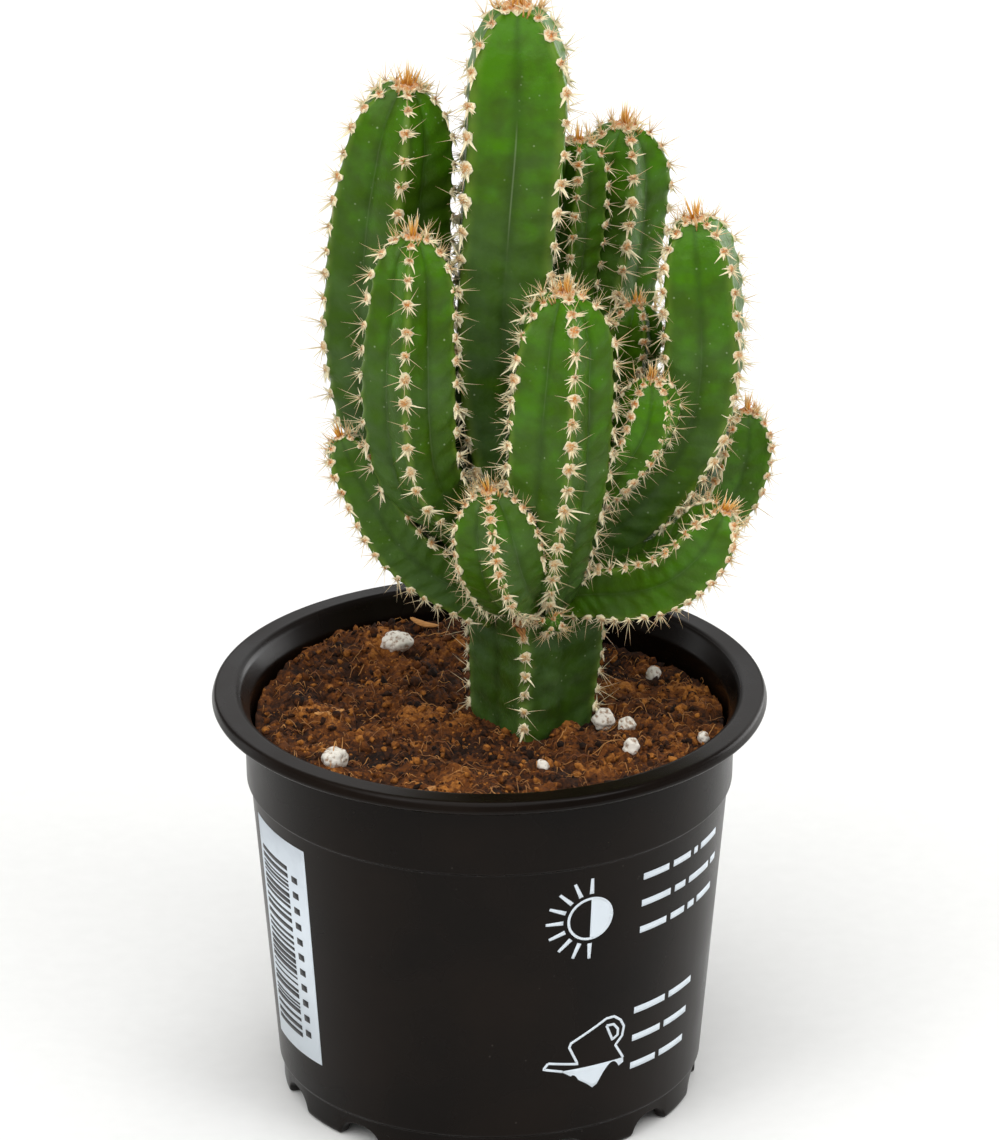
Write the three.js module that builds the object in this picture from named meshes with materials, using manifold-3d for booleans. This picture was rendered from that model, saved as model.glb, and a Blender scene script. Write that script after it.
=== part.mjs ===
// A potted tall cactus: ribbed, clumping columns that grow from one trunk, in a round nursery pot.
// Millimetres, +Z up. The origin is on the pot's axis, in the plane that the pot's feet stand on.
// -Y is the front, where the printed side of the pot and the lowest front stem are.
import * as THREE from "three";
import { mergeVertices } from "three/addons/utils/BufferGeometryUtils.js";
import Module from "manifold-3d";

const wasm = await Module();
wasm.setup();

// ---------------------------------------------------------------- driving dimensions

const GAP = 0.42; // clearance between two pieces that touch on the real plant

const POT = {
  height: 81, // feet to the top of the rim
  rimRadius: 52.5, // a 10.5 cm pot
  mouthRadius: 47.3, // inner edge of the rim
  rimThickness: 2.9,
  mouthRound: 0.5, // radius of the rim's inner edge
  collarRadius: 46.4, // outside of the plain band under the rim
  collarFillet: 0.8, // where the band meets the underside of the rim
  ridgeHeight: 63.3, // the step line round the wall
  ridgeStep: 0.7, // how far the band stands out over the wall below it
  bandDraft: 0.4, // how much narrower the band is at its foot
  ledgeHeight: 6, // where the wall steps in to the feet
  ledgeRadius: 40.2,
  stepSlope: 0.6, // height over which the ledge and the step line slope
  wall: 1.1,
  segments: 50,
};
const FOOT = {
  outerRadius: 39.3,
  draft: 0.2,
  ringWidth: 2.4,
  count: 12,
  archHeight: 3.5, // the gap between two feet is half an oval
  archWidth: 10,
  archSides: 12,
  firstArchAngle: 201, // degrees from +X
};
const FLOOR = { underside: 5.2, top: 6.4, holeRadius: 2.6, holeSides: 10, holeCircle: 29, holes: 8 };

const SOIL = {
  level: 74.9, // round the trunk
  segments: 36,
  rings: [0.83, 0.66, 0.48, 0.3, 0.12, 0], // shares of the radius
  rimGap: 1.2, // kept off the wall at the very top, where the soil has shrunk back
  shoulder: 1.6, // how far down its edge is rounded off
  neck: 2, // how far under the step line its side turns upright
  flatsRoom: 0.4, // keeps the flats of its rings off the flats of the wall's
};
// Swells and hollows of the soil's top.
const SWELLS = [
  { x: -24, y: 30, width: 20, depth: 18, rise: 2.3 },
  { x: 30, y: 26, width: 15, depth: 17, rise: -2.3 },
];
const WAVES = { height: 0.35, alongX: 5.1, alongY: 4.3, start: 0.6, slantHeight: 0.25, slant: 3.2 };

// How a stem's rings are made.
const STEM = {
  sidesPerRib: 4,
  domeRings: 3,
  domeHeight: 1.25, // as a share of the last radius
  domeArc: 0.46, // share of a half turn that the dome's arch goes through, so the crown has a small flat
  domeRoundness: 0.8,
  turn: [0.2, 0.625], // shares of the length between which the ribs turn
  flankBulge: 0.03, // how far the flanks of the ribs swell, as a share of the radius
  // Radius of the grooves at the foot and the tip as a share of the crest radius, by number of ribs.
  grooves: { 4: [0.72, 0.64], 5: [0.8, 0.68] },
};

// Each stem: its number of ribs, the way a rib faces at the foot and at the tip (degrees from the
// front, turning towards +X), and points on its centre line as [x, y, z, radius out to the rib crest].
// The last point is the crown. A stem is trimmed by the ones listed before it.
const STEMS = [
  {
    name: "main_stem", ribs: 4, turn: [-8, -45], steps: 15, finish: "skin",
    line: [
      [8.7, 0, 59, 10.6], [8.1, 0, 77.1, 11.8], [8.6, 0, 93, 12.8], [7.6, 0, 106.9, 13.6],
      [5.6, 0.5, 120.7, 12.9], [3.1, 1, 139.3, 12.2], [2.6, 2, 158.3, 11.8], [3.6, 3, 175.4, 12],
      [5.1, 4.5, 195.8, 12.6], [5.2, 6, 215.8, 11.8],
    ],
  },
  {
    name: "stem_left_tall", ribs: 5, turn: [0, 6], steps: 10, finish: "skin",
    line: [
      [-0.9, 1.5, 110.8, 7.5], [-10.8, 6, 121.8, 9.5], [-16.5, 9, 131.7, 11], [-19.1, 10, 145.5, 12.2],
      [-19.3, 10, 159.1, 12.3], [-18.6, 9, 173.5, 11.8], [-17, 8, 187.4, 10.6], [-15.3, 7, 199.8, 9.2],
    ],
  },
  {
    name: "stem_right_tall", ribs: 4, turn: [-40, -50], steps: 11, finish: "skin",
    line: [
      [12.1, 1, 102.9, 8], [17.6, 1, 109.8, 8], [24.5, 1, 116.7, 8.2], [30.9, 0, 124.3, 8.5], [36.1, 0, 132.4, 8.9],
      [39.3, 0, 142.6, 9.4], [40, 0, 153.3, 9.5], [39.4, 0, 164.5, 9.1], [38.1, 0, 176, 7.9],
    ],
  },
  {
    name: "stem_right_back", ribs: 5, turn: [8, 14], steps: 8, finish: "skin",
    line: [
      [8.1, 6, 122.8, 6.6], [14.1, 13, 135.8, 8.4], [20.1, 19, 149.7, 9.6], [22.4, 22, 160.6, 9.8],
      [24.2, 23, 173.3, 9.5], [25.3, 23, 185.9, 8.4],
    ],
  },
  {
    name: "stem_back", ribs: 5, turn: [0, 0], steps: 7, finish: "oldSkin",
    line: [
      [6.1, 5, 126.7, 5], [11.6, 12, 142.6, 5.6], [14.5, 14.5, 160.3, 6],
      [16, 14.5, 174.8, 6.1], [16.7, 14, 186.3, 5.5],
    ],
  },
  {
    name: "stem_centre_front", ribs: 5, turn: [10, 14], steps: 8, finish: "skin",
    line: [
      [9.6, -4, 101.8, 7], [10.5, -12.5, 116.4, 8.7], [12, -16.5, 132, 10], [12.7, -17, 145, 10.3],
      [13.5, -17, 157.1, 9.6], [14, -17, 168.1, 8.2],
    ],
  },
  {
    name: "stem_left_front", ribs: 5, turn: [-6, -6], steps: 9, finish: "skin",
    line: [
      [2.1, -3, 111.7, 5.4], [-7.8, -8.5, 121.9, 6.5], [-12.7, -12, 130.6, 8.1], [-14.4, -13, 142.7, 9],
      [-14.5, -13, 155.8, 8.9], [-14.1, -13, 167.3, 8.2], [-14, -13, 177.8, 7],
    ],
  },
  {
    name: "stem_right_low", ribs: 4, turn: [-45, -45], steps: 8, finish: "skin",
    line: [
      [13.1, -2, 102.5, 5.6], [20.5, -4, 104.2, 6.8], [27, -7, 106, 7.5], [33.4, -9, 109, 7.6],
      [39, -11, 114.5, 7.1], [43.9, -12, 122.3, 6.1],
    ],
  },
  {
    name: "stem_right_outer", ribs: 4, turn: [-35, -35], steps: 8, finish: "oldSkin",
    line: [
      [16.1, 4, 99, 5], [25.6, 6.5, 102.1, 5.6], [33.7, 9.5, 105.6, 6.4], [40.2, 11, 110.6, 6.6],
      [45.3, 11.5, 117.5, 6.6], [47.8, 11, 125.4, 6.2], [48.4, 11, 132.8, 5.6],
    ],
  },
  {
    name: "stem_front_short", ribs: 5, turn: [4, -2], steps: 7, finish: "oldSkin",
    line: [
      [6.6, -6, 104, 5], [4.4, -13.5, 108, 6.8], [2.6, -18.5, 114.5, 8],
      [1.2, -20.5, 122.1, 8], [-0.1, -21, 130.2, 6.7],
    ],
  },
  {
    name: "stem_left_low", ribs: 4, turn: [-40, -36], steps: 7, finish: "oldSkin",
    line: [
      [1.1, -2, 99.9, 6.6], [-10.8, -6, 108.4, 6.6], [-18.2, -8.5, 116.4, 6.3], [-22.6, -9.5, 124.8, 5.9],
      [-25.7, -9.5, 130.9, 5.3], [-27.8, -9, 136, 4.7],
    ],
  },
  {
    name: "stem_right_inner", ribs: 5, turn: [20, 20], steps: 6, finish: "oldSkin",
    line: [
      [14.1, 3, 120.7, 4.4], [21.5, 6.5, 129.7, 5], [25.2, 7.5, 139.5, 5.4],
      [26.9, 7.5, 148.8, 5.4], [27.6, 7.5, 156.3, 4.8],
    ],
  },
  {
    name: "stem_pup", ribs: 5, turn: [36, 36], steps: 6, finish: "youngSkin",
    line: [
      [17, -4, 119.6, 3.6], [23.4, -9, 129.2, 4.7], [27.7, -11.5, 136.9, 5.7],
      [29.7, -12, 142.9, 5.7], [30.2, -12, 149, 4.9],
    ],
  },
  {
    name: "bud_front", ribs: 5, turn: [0, 0], steps: 5, finish: "youngSkin",
    line: [[10.6, -8, 97.8, 1.7], [11.5, -13.5, 100.2, 2.1], [12, -15.8, 102, 2]],
  },
];

// Grains lying on the soil: [x, y, width, depth, height].
const PERLITE = [
  [-17.6, 25.4, 5.8, 5.2, 3.2], [-29.1, -24.4, 4.8, 4.4, 3.6], [21.6, -5.1, 4, 3.6, 3],
  [26, -6.4, 3.2, 3, 2.1], [26.8, -17.4, 3, 2.8, 2], [10.2, -25.6, 2.4, 2.3, 1.8],
  [31.2, 21.4, 2.8, 2.6, 1.9], [40.4, -11.2, 2.3, 2.2, 1.7],
];
const GRAIN = { sides: 7, rings: 5, dent: 0.14, nick: 0.1, dentsAcross: 9, nicksAcross: 11, seedStep: 1.7 };
// Flakes of bark on the soil: [x, y, length, width, thickness, turn in degrees].
const BARK = [
  [-12.5, 36.2, 7, 2.4, 1.5, -35],
  [-30.3, -1.8, 6, 1.8, 1.2, 10],
  [-12.4, -36, 5.5, 2, 1.2, 25],
];
const FLAKE_SEGMENTS = 5;
const FOOTPRINT = { share: 0.4, samples: 6 }; // the middle part of a small body, which rests on the soil

const FINISHES = {
  youngSkin: { color: "#5f9a1f", roughness: 0.45 },
  skin: { color: "#3f7a22", roughness: 0.45 },
  oldSkin: { color: "#3d6b2c", roughness: 0.45 },
  potPlastic: { color: "#26201d", roughness: 0.38 },
  soil: { color: "#4a2a1a", roughness: 1 },
  perlite: { color: "#e4dfd2", roughness: 0.95 },
  bark: { color: "#8a5530", roughness: 0.9 },
};

// ---------------------------------------------------------------- solids

/** A closed three.js geometry as a solid that can be cut. */
function toSolid(geometry) {
  const bare = geometry.clone();
  bare.deleteAttribute("normal");
  bare.deleteAttribute("uv");
  const merged = mergeVertices(bare, 1e-4);
  const mesh = new wasm.Mesh({
    numProp: 3,
    vertProperties: Float32Array.from(merged.attributes.position.array),
    triVerts: Uint32Array.from(merged.index.array),
  });
  mesh.merge();
  return new wasm.Manifold(mesh);
}

/** A cut solid back as a three.js geometry. */
function toGeometry(solid) {
  const mesh = solid.getMesh();
  const geometry = new THREE.BufferGeometry();
  geometry.setAttribute("position", new THREE.BufferAttribute(mesh.vertProperties, 3));
  geometry.setIndex(new THREE.BufferAttribute(mesh.triVerts, 1));
  geometry.computeVertexNormals();
  return geometry;
}

/** The largest of the separate bodies that a cut leaves: slivers beyond a neighbour are dropped. */
function largestBody(solid) {
  return solid.decompose().reduce((a, b) => (b.volume() > a.volume() ? b : a));
}

/** A mesh with its name and its finish. */
function named(name, geometry, finish) {
  const material = new THREE.MeshStandardMaterial({ ...FINISHES[finish], metalness: 0 });
  const mesh = new THREE.Mesh(geometry, material);
  mesh.name = name;
  return mesh;
}

/** A profile of [radius, height] pairs turned round +Z. */
function turned(profile, segments) {
  const points = profile.map(([radius, height]) => new THREE.Vector2(radius, height));
  return new THREE.LatheGeometry(points, segments).rotateX(Math.PI / 2);
}

/** Points on a round edge of a profile, from one angle to another in degrees. */
function roundEdge([radius, height], size, from, to, steps) {
  return Array.from({ length: steps + 1 }, (_, i) => {
    const angle = THREE.MathUtils.degToRad(from + ((to - from) * i) / steps);
    return [radius + size * Math.cos(angle), height + size * Math.sin(angle)];
  });
}

// ---------------------------------------------------------------- stems

const smooth = (t) => t * t * (3 - 2 * t);

/**
 * Radius of the ribbed section as a share of the crest radius, at an angle from a rib's crest: a
 * straight flank from the crest to the groove, swelled by half a sine.
 */
function ribShare(angle, ribs, share) {
  const [foot, tip] = STEM.grooves[ribs];
  const groove = foot + (tip - foot) * smooth(share);
  const half = Math.PI / ribs;
  const off = half - Math.abs((Math.abs(angle) % (2 * half)) - half);
  const straight = (groove * Math.sin(half)) / (Math.sin(off) + groove * Math.sin(half - off));
  return straight * (1 + STEM.flankBulge * Math.sin((Math.PI * off) / half));
}

/** How far the ribs have turned from the front, in radians, at a share of the stem's length. */
function facing([foot, tip], share) {
  const turned = THREE.MathUtils.smoothstep(share, ...STEM.turn);
  return THREE.MathUtils.degToRad(foot + (tip - foot) * turned);
}

/**
 * A stem: a capped cylinder whose rings are carried along the centre line, pushed out to the ribbed
 * section and drawn in to a dome at the crown. Grown by some clearance, it cuts its neighbours.
 */
function stemGeometry({ ribs, turn, steps, line }, grow = 0) {
  const curve = (points) => new THREE.CatmullRomCurve3(points, false, "catmullrom");
  const centre = curve(line.map(([x, y, z]) => new THREE.Vector3(x, y, z)));
  const sizes = curve(line.map(([, , , radius]) => new THREE.Vector3(radius, 0, 0)));
  const length = centre.getLength();
  const dome = STEM.domeHeight * line.at(-1)[3];
  const rings = steps + STEM.domeRings;
  const geometry = new THREE.CylinderGeometry(1, 1, 1, ribs * STEM.sidesPerRib, rings);
  const position = geometry.attributes.position;
  const vertex = new THREE.Vector3();
  for (let i = 0; i < position.count; i++) {
    vertex.fromBufferAttribute(position, i);
    const ring = Math.round((vertex.y + 0.5) * rings);
    const inDome = Math.max(0, ring - steps) / STEM.domeRings;
    // The body's rings are spread along the line, and the dome's by the sine of an even angle.
    const along = (length - dome) * Math.min(1, ring / steps) + dome * Math.sin((inDome * Math.PI) / 2);
    const share = along / length;
    const t = centre.getUtoTmapping(share);
    const drawnIn = Math.cos(inDome * Math.PI * STEM.domeArc) ** STEM.domeRoundness;
    const radius = sizes.getPoint(t).x * drawnIn + grow;
    const angle = Math.atan2(vertex.x, vertex.z);
    const reach = Math.hypot(vertex.x, vertex.z) * radius * ribShare(angle, ribs, share);
    const around = angle + facing(turn, share);
    const tangent = centre.getTangent(t);
    const front = new THREE.Vector3(0, -1, 0).addScaledVector(tangent, tangent.y).normalize();
    const side = new THREE.Vector3().crossVectors(tangent, front);
    const point = centre.getPoint(t)
      .addScaledVector(front, reach * Math.cos(around))
      .addScaledVector(side, reach * Math.sin(around));
    if (ring === 0) point.addScaledVector(tangent, -grow);
    if (ring === rings) point.addScaledVector(tangent, grow);
    position.setXYZ(i, point.x, point.y, point.z);
  }
  return geometry;
}

const grownStems = STEMS.map((stem) => toSolid(stemGeometry(stem, GAP)));

/** A stem trimmed to what its earlier neighbours, grown by the gap, leave of it. */
function trimmedStem(index) {
  let solid = toSolid(stemGeometry(STEMS[index]));
  for (let i = 0; i < index; i++) solid = solid.subtract(grownStems[i]);
  return largestBody(solid);
}

function stems() {
  const group = new THREE.Group();
  STEMS.forEach(({ name, finish }, i) => group.add(named(name, toGeometry(trimmedStem(i)), finish)));
  return group;
}

// ---------------------------------------------------------------- pot

/** Outside radius of the tapered wall at a height between the ledge and the ridge. */
function wallRadius(z) {
  const top = POT.collarRadius - POT.ridgeStep - POT.bandDraft;
  return THREE.MathUtils.mapLinear(z, POT.ledgeHeight, POT.ridgeHeight, POT.ledgeRadius, top);
}

/** The pot's section: up the outside from the floor, over the rim and down the inside. */
function potProfile() {
  const { height, rimRadius, rimThickness, mouthRadius, mouthRound, collarRadius, collarFillet } = POT;
  const { ridgeHeight, bandDraft, ledgeHeight, ledgeRadius, stepSlope, wall } = POT;
  const under = height - rimThickness;
  const rimRound = rimThickness / 2;
  const footInner = FOOT.outerRadius - FOOT.ringWidth;
  return [
    [0, FLOOR.underside],
    [footInner, FLOOR.underside],
    [footInner, 0],
    [FOOT.outerRadius, 0],
    [FOOT.outerRadius + FOOT.draft, ledgeHeight - stepSlope],
    [ledgeRadius, ledgeHeight],
    [wallRadius(ridgeHeight - stepSlope), ridgeHeight - stepSlope],
    [collarRadius - bandDraft, ridgeHeight + stepSlope],
    ...roundEdge([collarRadius + collarFillet, under - collarFillet], collarFillet, 180, 90, 2),
    ...roundEdge([rimRadius - rimRound, under + rimRound], rimRound, -90, 90, 4),
    ...roundEdge([mouthRadius + mouthRound, height - mouthRound], mouthRound, 90, 180, 2),
    [collarRadius - wall, under - wall],
    [collarRadius - bandDraft - wall, ridgeHeight + stepSlope],
    [wallRadius(ridgeHeight) - wall, ridgeHeight - stepSlope],
    [ledgeRadius - wall, FLOOR.top],
    [0, FLOOR.top],
  ];
}

/** Gap between two feet: a cylinder that lies across the foot ring, widened to an oval. */
function arch(index) {
  const through = 3 * FOOT.ringWidth;
  const cutter = new THREE.CylinderGeometry(FOOT.archHeight, FOOT.archHeight, through, FOOT.archSides);
  const angle = THREE.MathUtils.degToRad(FOOT.firstArchAngle + (index * 360) / FOOT.count);
  cutter.rotateZ(Math.PI / 2).scale(1, FOOT.archWidth / (2 * FOOT.archHeight), 1);
  cutter.translate(FOOT.outerRadius - FOOT.ringWidth / 2, 0, 0).rotateZ(angle);
  return toSolid(cutter);
}

/** Drain hole through the floor. */
function drainHole(index) {
  const through = 4 * (FLOOR.top - FLOOR.underside);
  const cutter = new THREE.CylinderGeometry(FLOOR.holeRadius, FLOOR.holeRadius, through, FLOOR.holeSides);
  cutter.rotateX(Math.PI / 2).translate(FLOOR.holeCircle, 0, FLOOR.top);
  return toSolid(cutter.rotateZ((index * 2 * Math.PI) / FLOOR.holes));
}

function pot() {
  let solid = toSolid(turned(potProfile(), POT.segments));
  for (let i = 0; i < FOOT.count; i++) solid = solid.subtract(arch(i));
  for (let i = 0; i < FLOOR.holes; i++) solid = solid.subtract(drainHole(i));
  return named("pot", toGeometry(solid), "potPlastic");
}

// ---------------------------------------------------------------- soil and what lies on it

/** Height of the soil: banked up at the back left, sunk at the back right, in low waves. */
function soilHeight(x, y) {
  const bell = (swell) => {
    const across = (x - swell.x) / swell.width;
    const back = (y - swell.y) / swell.depth;
    return swell.rise * Math.exp(-(across ** 2) - back ** 2);
  };
  const straight = Math.sin(x / WAVES.alongX + WAVES.start) * Math.cos(y / WAVES.alongY);
  const slanted = Math.sin((x + y) / WAVES.slant);
  const swells = SWELLS.reduce((sum, swell) => sum + bell(swell), 0);
  return SOIL.level + swells + WAVES.height * straight + WAVES.slantHeight * slanted;
}

function soil() {
  const foot = FLOOR.top + GAP;
  const lower = POT.ledgeRadius - POT.wall - GAP;
  const upper = wallRadius(POT.ridgeHeight) - POT.wall - GAP - SOIL.flatsRoom;
  const edge = SOIL.level - SOIL.shoulder;
  const profile = [
    [0, foot],
    [lower, foot],
    [upper, POT.ridgeHeight - SOIL.neck],
    [upper, edge],
    [upper - SOIL.rimGap, SOIL.level],
    ...SOIL.rings.map((share) => [share * upper, SOIL.level]),
  ];
  const geometry = turned(profile, SOIL.segments);
  const position = geometry.attributes.position;
  const isTop = (z) => z > (edge + SOIL.level) / 2;
  for (let i = 0; i < position.count; i++) {
    if (isTop(position.getZ(i))) position.setZ(i, soilHeight(position.getX(i), position.getY(i)));
  }
  return named("soil", toGeometry(toSolid(geometry).subtract(grownStems[0])), "soil");
}

/** A rough grain: a coarse ball with its corners pushed in and out. */
function grain(name, [x, y, width, depth, height], seed) {
  const geometry = new THREE.SphereGeometry(0.5, GRAIN.sides, GRAIN.rings);
  const position = geometry.attributes.position;
  for (let i = 0; i < position.count; i++) {
    const [px, py, pz] = [position.getX(i), position.getY(i), position.getZ(i)];
    const dent = Math.sin(GRAIN.dentsAcross * px + seed) * Math.cos(GRAIN.dentsAcross * pz - seed);
    const nick = Math.sin(GRAIN.nicksAcross * py + 2 * seed);
    const push = 1 + GRAIN.dent * dent + GRAIN.nick * nick;
    position.setXYZ(i, px * push * width, -pz * push * depth, py * push * height);
  }
  return seated(named(name, toGeometry(toSolid(geometry)), "perlite"), x, y);
}

/** A flake of bark: a plate with a pointed oval outline. */
function flake(name, [x, y, length, width, thickness, turn]) {
  const outline = new THREE.Shape();
  outline.moveTo(-length / 2, 0);
  outline.quadraticCurveTo(0, -width, length / 2, 0);
  outline.quadraticCurveTo(0, width, -length / 2, 0);
  const plate = { depth: thickness, bevelEnabled: false, curveSegments: FLAKE_SEGMENTS };
  const mesh = named(name, toGeometry(toSolid(new THREE.ExtrudeGeometry(outline, plate))), "bark");
  mesh.rotation.z = THREE.MathUtils.degToRad(turn);
  return seated(mesh, x, y);
}

/** Sets a small body down at x, y, cleared by the gap from the highest soil under its middle part. */
function seated(mesh, x, y) {
  const { min, max } = new THREE.Box3().setFromObject(mesh);
  const { share, samples } = FOOTPRINT;
  let ground = 0;
  for (let i = 0; i <= samples; i++) {
    for (let j = 0; j <= samples; j++) {
      const dx = THREE.MathUtils.lerp(min.x, max.x, i / samples) * share;
      const dy = THREE.MathUtils.lerp(min.y, max.y, j / samples) * share;
      ground = Math.max(ground, soilHeight(x + dx, y + dy));
    }
  }
  mesh.position.set(x, y, ground + GAP - min.z);
  return mesh;
}

// ---------------------------------------------------------------- assembly

const plant = new THREE.Group();
plant.add(pot(), soil(), stems());
PERLITE.forEach((size, i) => plant.add(grain(`perlite_${i + 1}`, size, GRAIN.seedStep * i)));
BARK.forEach((size, i) => plant.add(flake(`bark_${i + 1}`, size)));

export default plant;
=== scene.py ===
"""A potted, clumping columnar cactus: ribbed stems with woolly areoles and spines, in coir soil in a pot.

Shapes are worked out in millimetres, with +Z up and -Y the front of the pot, and turned to metres once, when
a mesh is made.
"""
import logging
import math
from dataclasses import dataclass, field
from enum import Enum
from itertools import product

import bpy
import numpy as np
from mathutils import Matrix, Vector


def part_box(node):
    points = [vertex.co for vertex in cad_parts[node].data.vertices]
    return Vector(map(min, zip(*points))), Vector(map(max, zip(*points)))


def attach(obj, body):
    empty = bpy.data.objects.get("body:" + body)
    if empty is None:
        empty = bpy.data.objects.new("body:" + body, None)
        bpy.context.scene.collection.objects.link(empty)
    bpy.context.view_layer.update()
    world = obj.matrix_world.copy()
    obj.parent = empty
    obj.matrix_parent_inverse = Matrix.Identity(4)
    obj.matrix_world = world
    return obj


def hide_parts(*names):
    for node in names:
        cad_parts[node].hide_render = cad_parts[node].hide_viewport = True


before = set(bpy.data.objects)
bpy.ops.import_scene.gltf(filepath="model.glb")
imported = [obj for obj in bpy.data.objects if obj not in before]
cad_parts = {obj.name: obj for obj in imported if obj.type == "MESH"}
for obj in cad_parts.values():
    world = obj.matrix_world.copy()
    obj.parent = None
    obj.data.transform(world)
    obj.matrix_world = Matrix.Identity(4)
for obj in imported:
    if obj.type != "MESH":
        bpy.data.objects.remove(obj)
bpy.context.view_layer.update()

MM = 0.001
BODY = "root"
TURN = 2 * math.pi
FIRST_STEM_SEED = 100
log = logging.getLogger("cactus")


# ------------------------------------------------------------------ numbers and patterns


def smooth(t: np.ndarray) -> np.ndarray:
    """An even start and stop from 0 to 1: three t squared less two t cubed."""
    t = np.clip(t, 0, 1)
    return t * t * (3 - 2 * t)


def unit(vectors: np.ndarray) -> np.ndarray:
    """Vectors along the last axis, made one long."""
    return vectors / np.maximum(np.linalg.norm(vectors, axis=-1, keepdims=True), 1e-9)


def along_curve(knots: np.ndarray, t: np.ndarray) -> np.ndarray:
    """An even Catmull-Rom curve through knots.

    Between knots i and i + 1, with f the part of the way, it is the cubic that passes both knots with a slope
    of half the chord between their neighbours. One knot is mirrored past each end.

    Args:
        knots: one row for each knot.
        t: places on the curve, from 0 to one less than the number of knots.
    Returns:
        One row for each place.
    """
    padded = np.vstack([2 * knots[0] - knots[1], knots, 2 * knots[-1] - knots[-2]])
    i = np.clip(np.floor(t).astype(int), 0, len(knots) - 2)
    f = (t - i)[..., None]
    p0, p1, p2, p3 = (padded[i + k] for k in range(4))
    first, second, third = p2 - p0, 2 * p0 - 5 * p1 + 4 * p2 - p3, 3 * p1 - p0 - 3 * p2 + p3
    return 0.5 * (2 * p1 + first * f + second * f**2 + third * f**3)


def ring_angles(around: int) -> np.ndarray:
    """Even angles round a full turn."""
    return np.arange(around) * TURN / around


def turned(front: np.ndarray, side: np.ndarray, angle: np.ndarray) -> np.ndarray:
    """Vectors turned from a front towards a side by angles, which get an axis for x, y and z."""
    return front * np.cos(angle)[..., None] + side * np.sin(angle)[..., None]


def ball(latitude: np.ndarray, angle: np.ndarray) -> np.ndarray:
    """Points on a ball of radius 1, by a column of latitudes and a row of angles round its axis."""
    flat = np.cos(latitude)
    return np.stack(np.broadcast_arrays(flat * np.cos(angle), flat * np.sin(angle), np.sin(latitude)), -1)


def lattice(cells: np.ndarray, seed: int) -> np.ndarray:
    """A repeatable number from 0 to 1 for each whole-number cell, mixed by primes and shifts."""
    primes = np.array([73856093, 19349663, 83492791])[: cells.shape[-1]]
    mixed = (cells.astype(np.int64) * primes).sum(-1) + seed * 1013904223
    mixed = ((mixed ^ (mixed >> 13)) & 0x7FFFFFFF) * 1274126177
    return ((mixed ^ (mixed >> 16)) & 0xFFFF) / 0xFFFF


def value_noise(points: np.ndarray, size: float, seed: int) -> np.ndarray:
    """Soft noise from 0 to 1: the lattice's numbers at a cell's corners, blended evenly between them.

    Args:
        points: places in 2 or 3 dimensions.
        size: the width of a cell, in the points' unit.
        seed: which pattern.
    Returns:
        One number for each place.
    """
    cell = np.floor(points / size)
    part = smooth(points / size - cell)
    total = np.zeros(points.shape[:-1])
    for corner in product((0, 1), repeat=points.shape[-1]):
        weight = np.where(corner, part, 1 - part).prod(-1)
        total += weight * lattice(cell + corner, seed)
    return total


def crumb_noise(points: np.ndarray, size: float, seed: int) -> np.ndarray:
    """Round crumbs, one for each cell: 1 at its random middle, less the distance to it in cells, down to 0.

    Args:
        points: places in 2 dimensions.
        size: the mean width of a crumb.
        seed: which pattern.
    Returns:
        One number for each place, from 0 to 1.
    """
    cell = np.floor(points / size)
    nearest = np.full(points.shape[:-1], np.inf)
    for step in product((-1, 0, 1), repeat=2):
        home = cell + step
        spot = home + np.stack([lattice(home, seed), lattice(home, seed + 7)], axis=-1)
        nearest = np.minimum(nearest, np.linalg.norm(points / size - spot, axis=-1))
    return np.clip(1 - nearest, 0, 1)


def any_turns(count: int, rng: np.random.Generator) -> np.ndarray:
    """Random rotation matrices, from random unit quaternions (w, x, y, z)."""
    w, x, y, z = unit(rng.normal(size=(count, 4))).T
    rows = [
        [1 - 2 * (y * y + z * z), 2 * (x * y - z * w), 2 * (x * z + y * w)],
        [2 * (x * y + z * w), 1 - 2 * (x * x + z * z), 2 * (y * z - x * w)],
        [2 * (x * z - y * w), 2 * (y * z + x * w), 1 - 2 * (x * x + y * y)],
    ]
    return np.moveaxis(np.array(rows), -1, 0)


# ------------------------------------------------------------------ meshes


def put(name: str, data: bpy.types.ID) -> bpy.types.Object:
    """Puts a new object with some data in the scene."""
    made = bpy.data.objects.new(name, data)
    bpy.context.scene.collection.objects.link(made)
    return made


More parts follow.
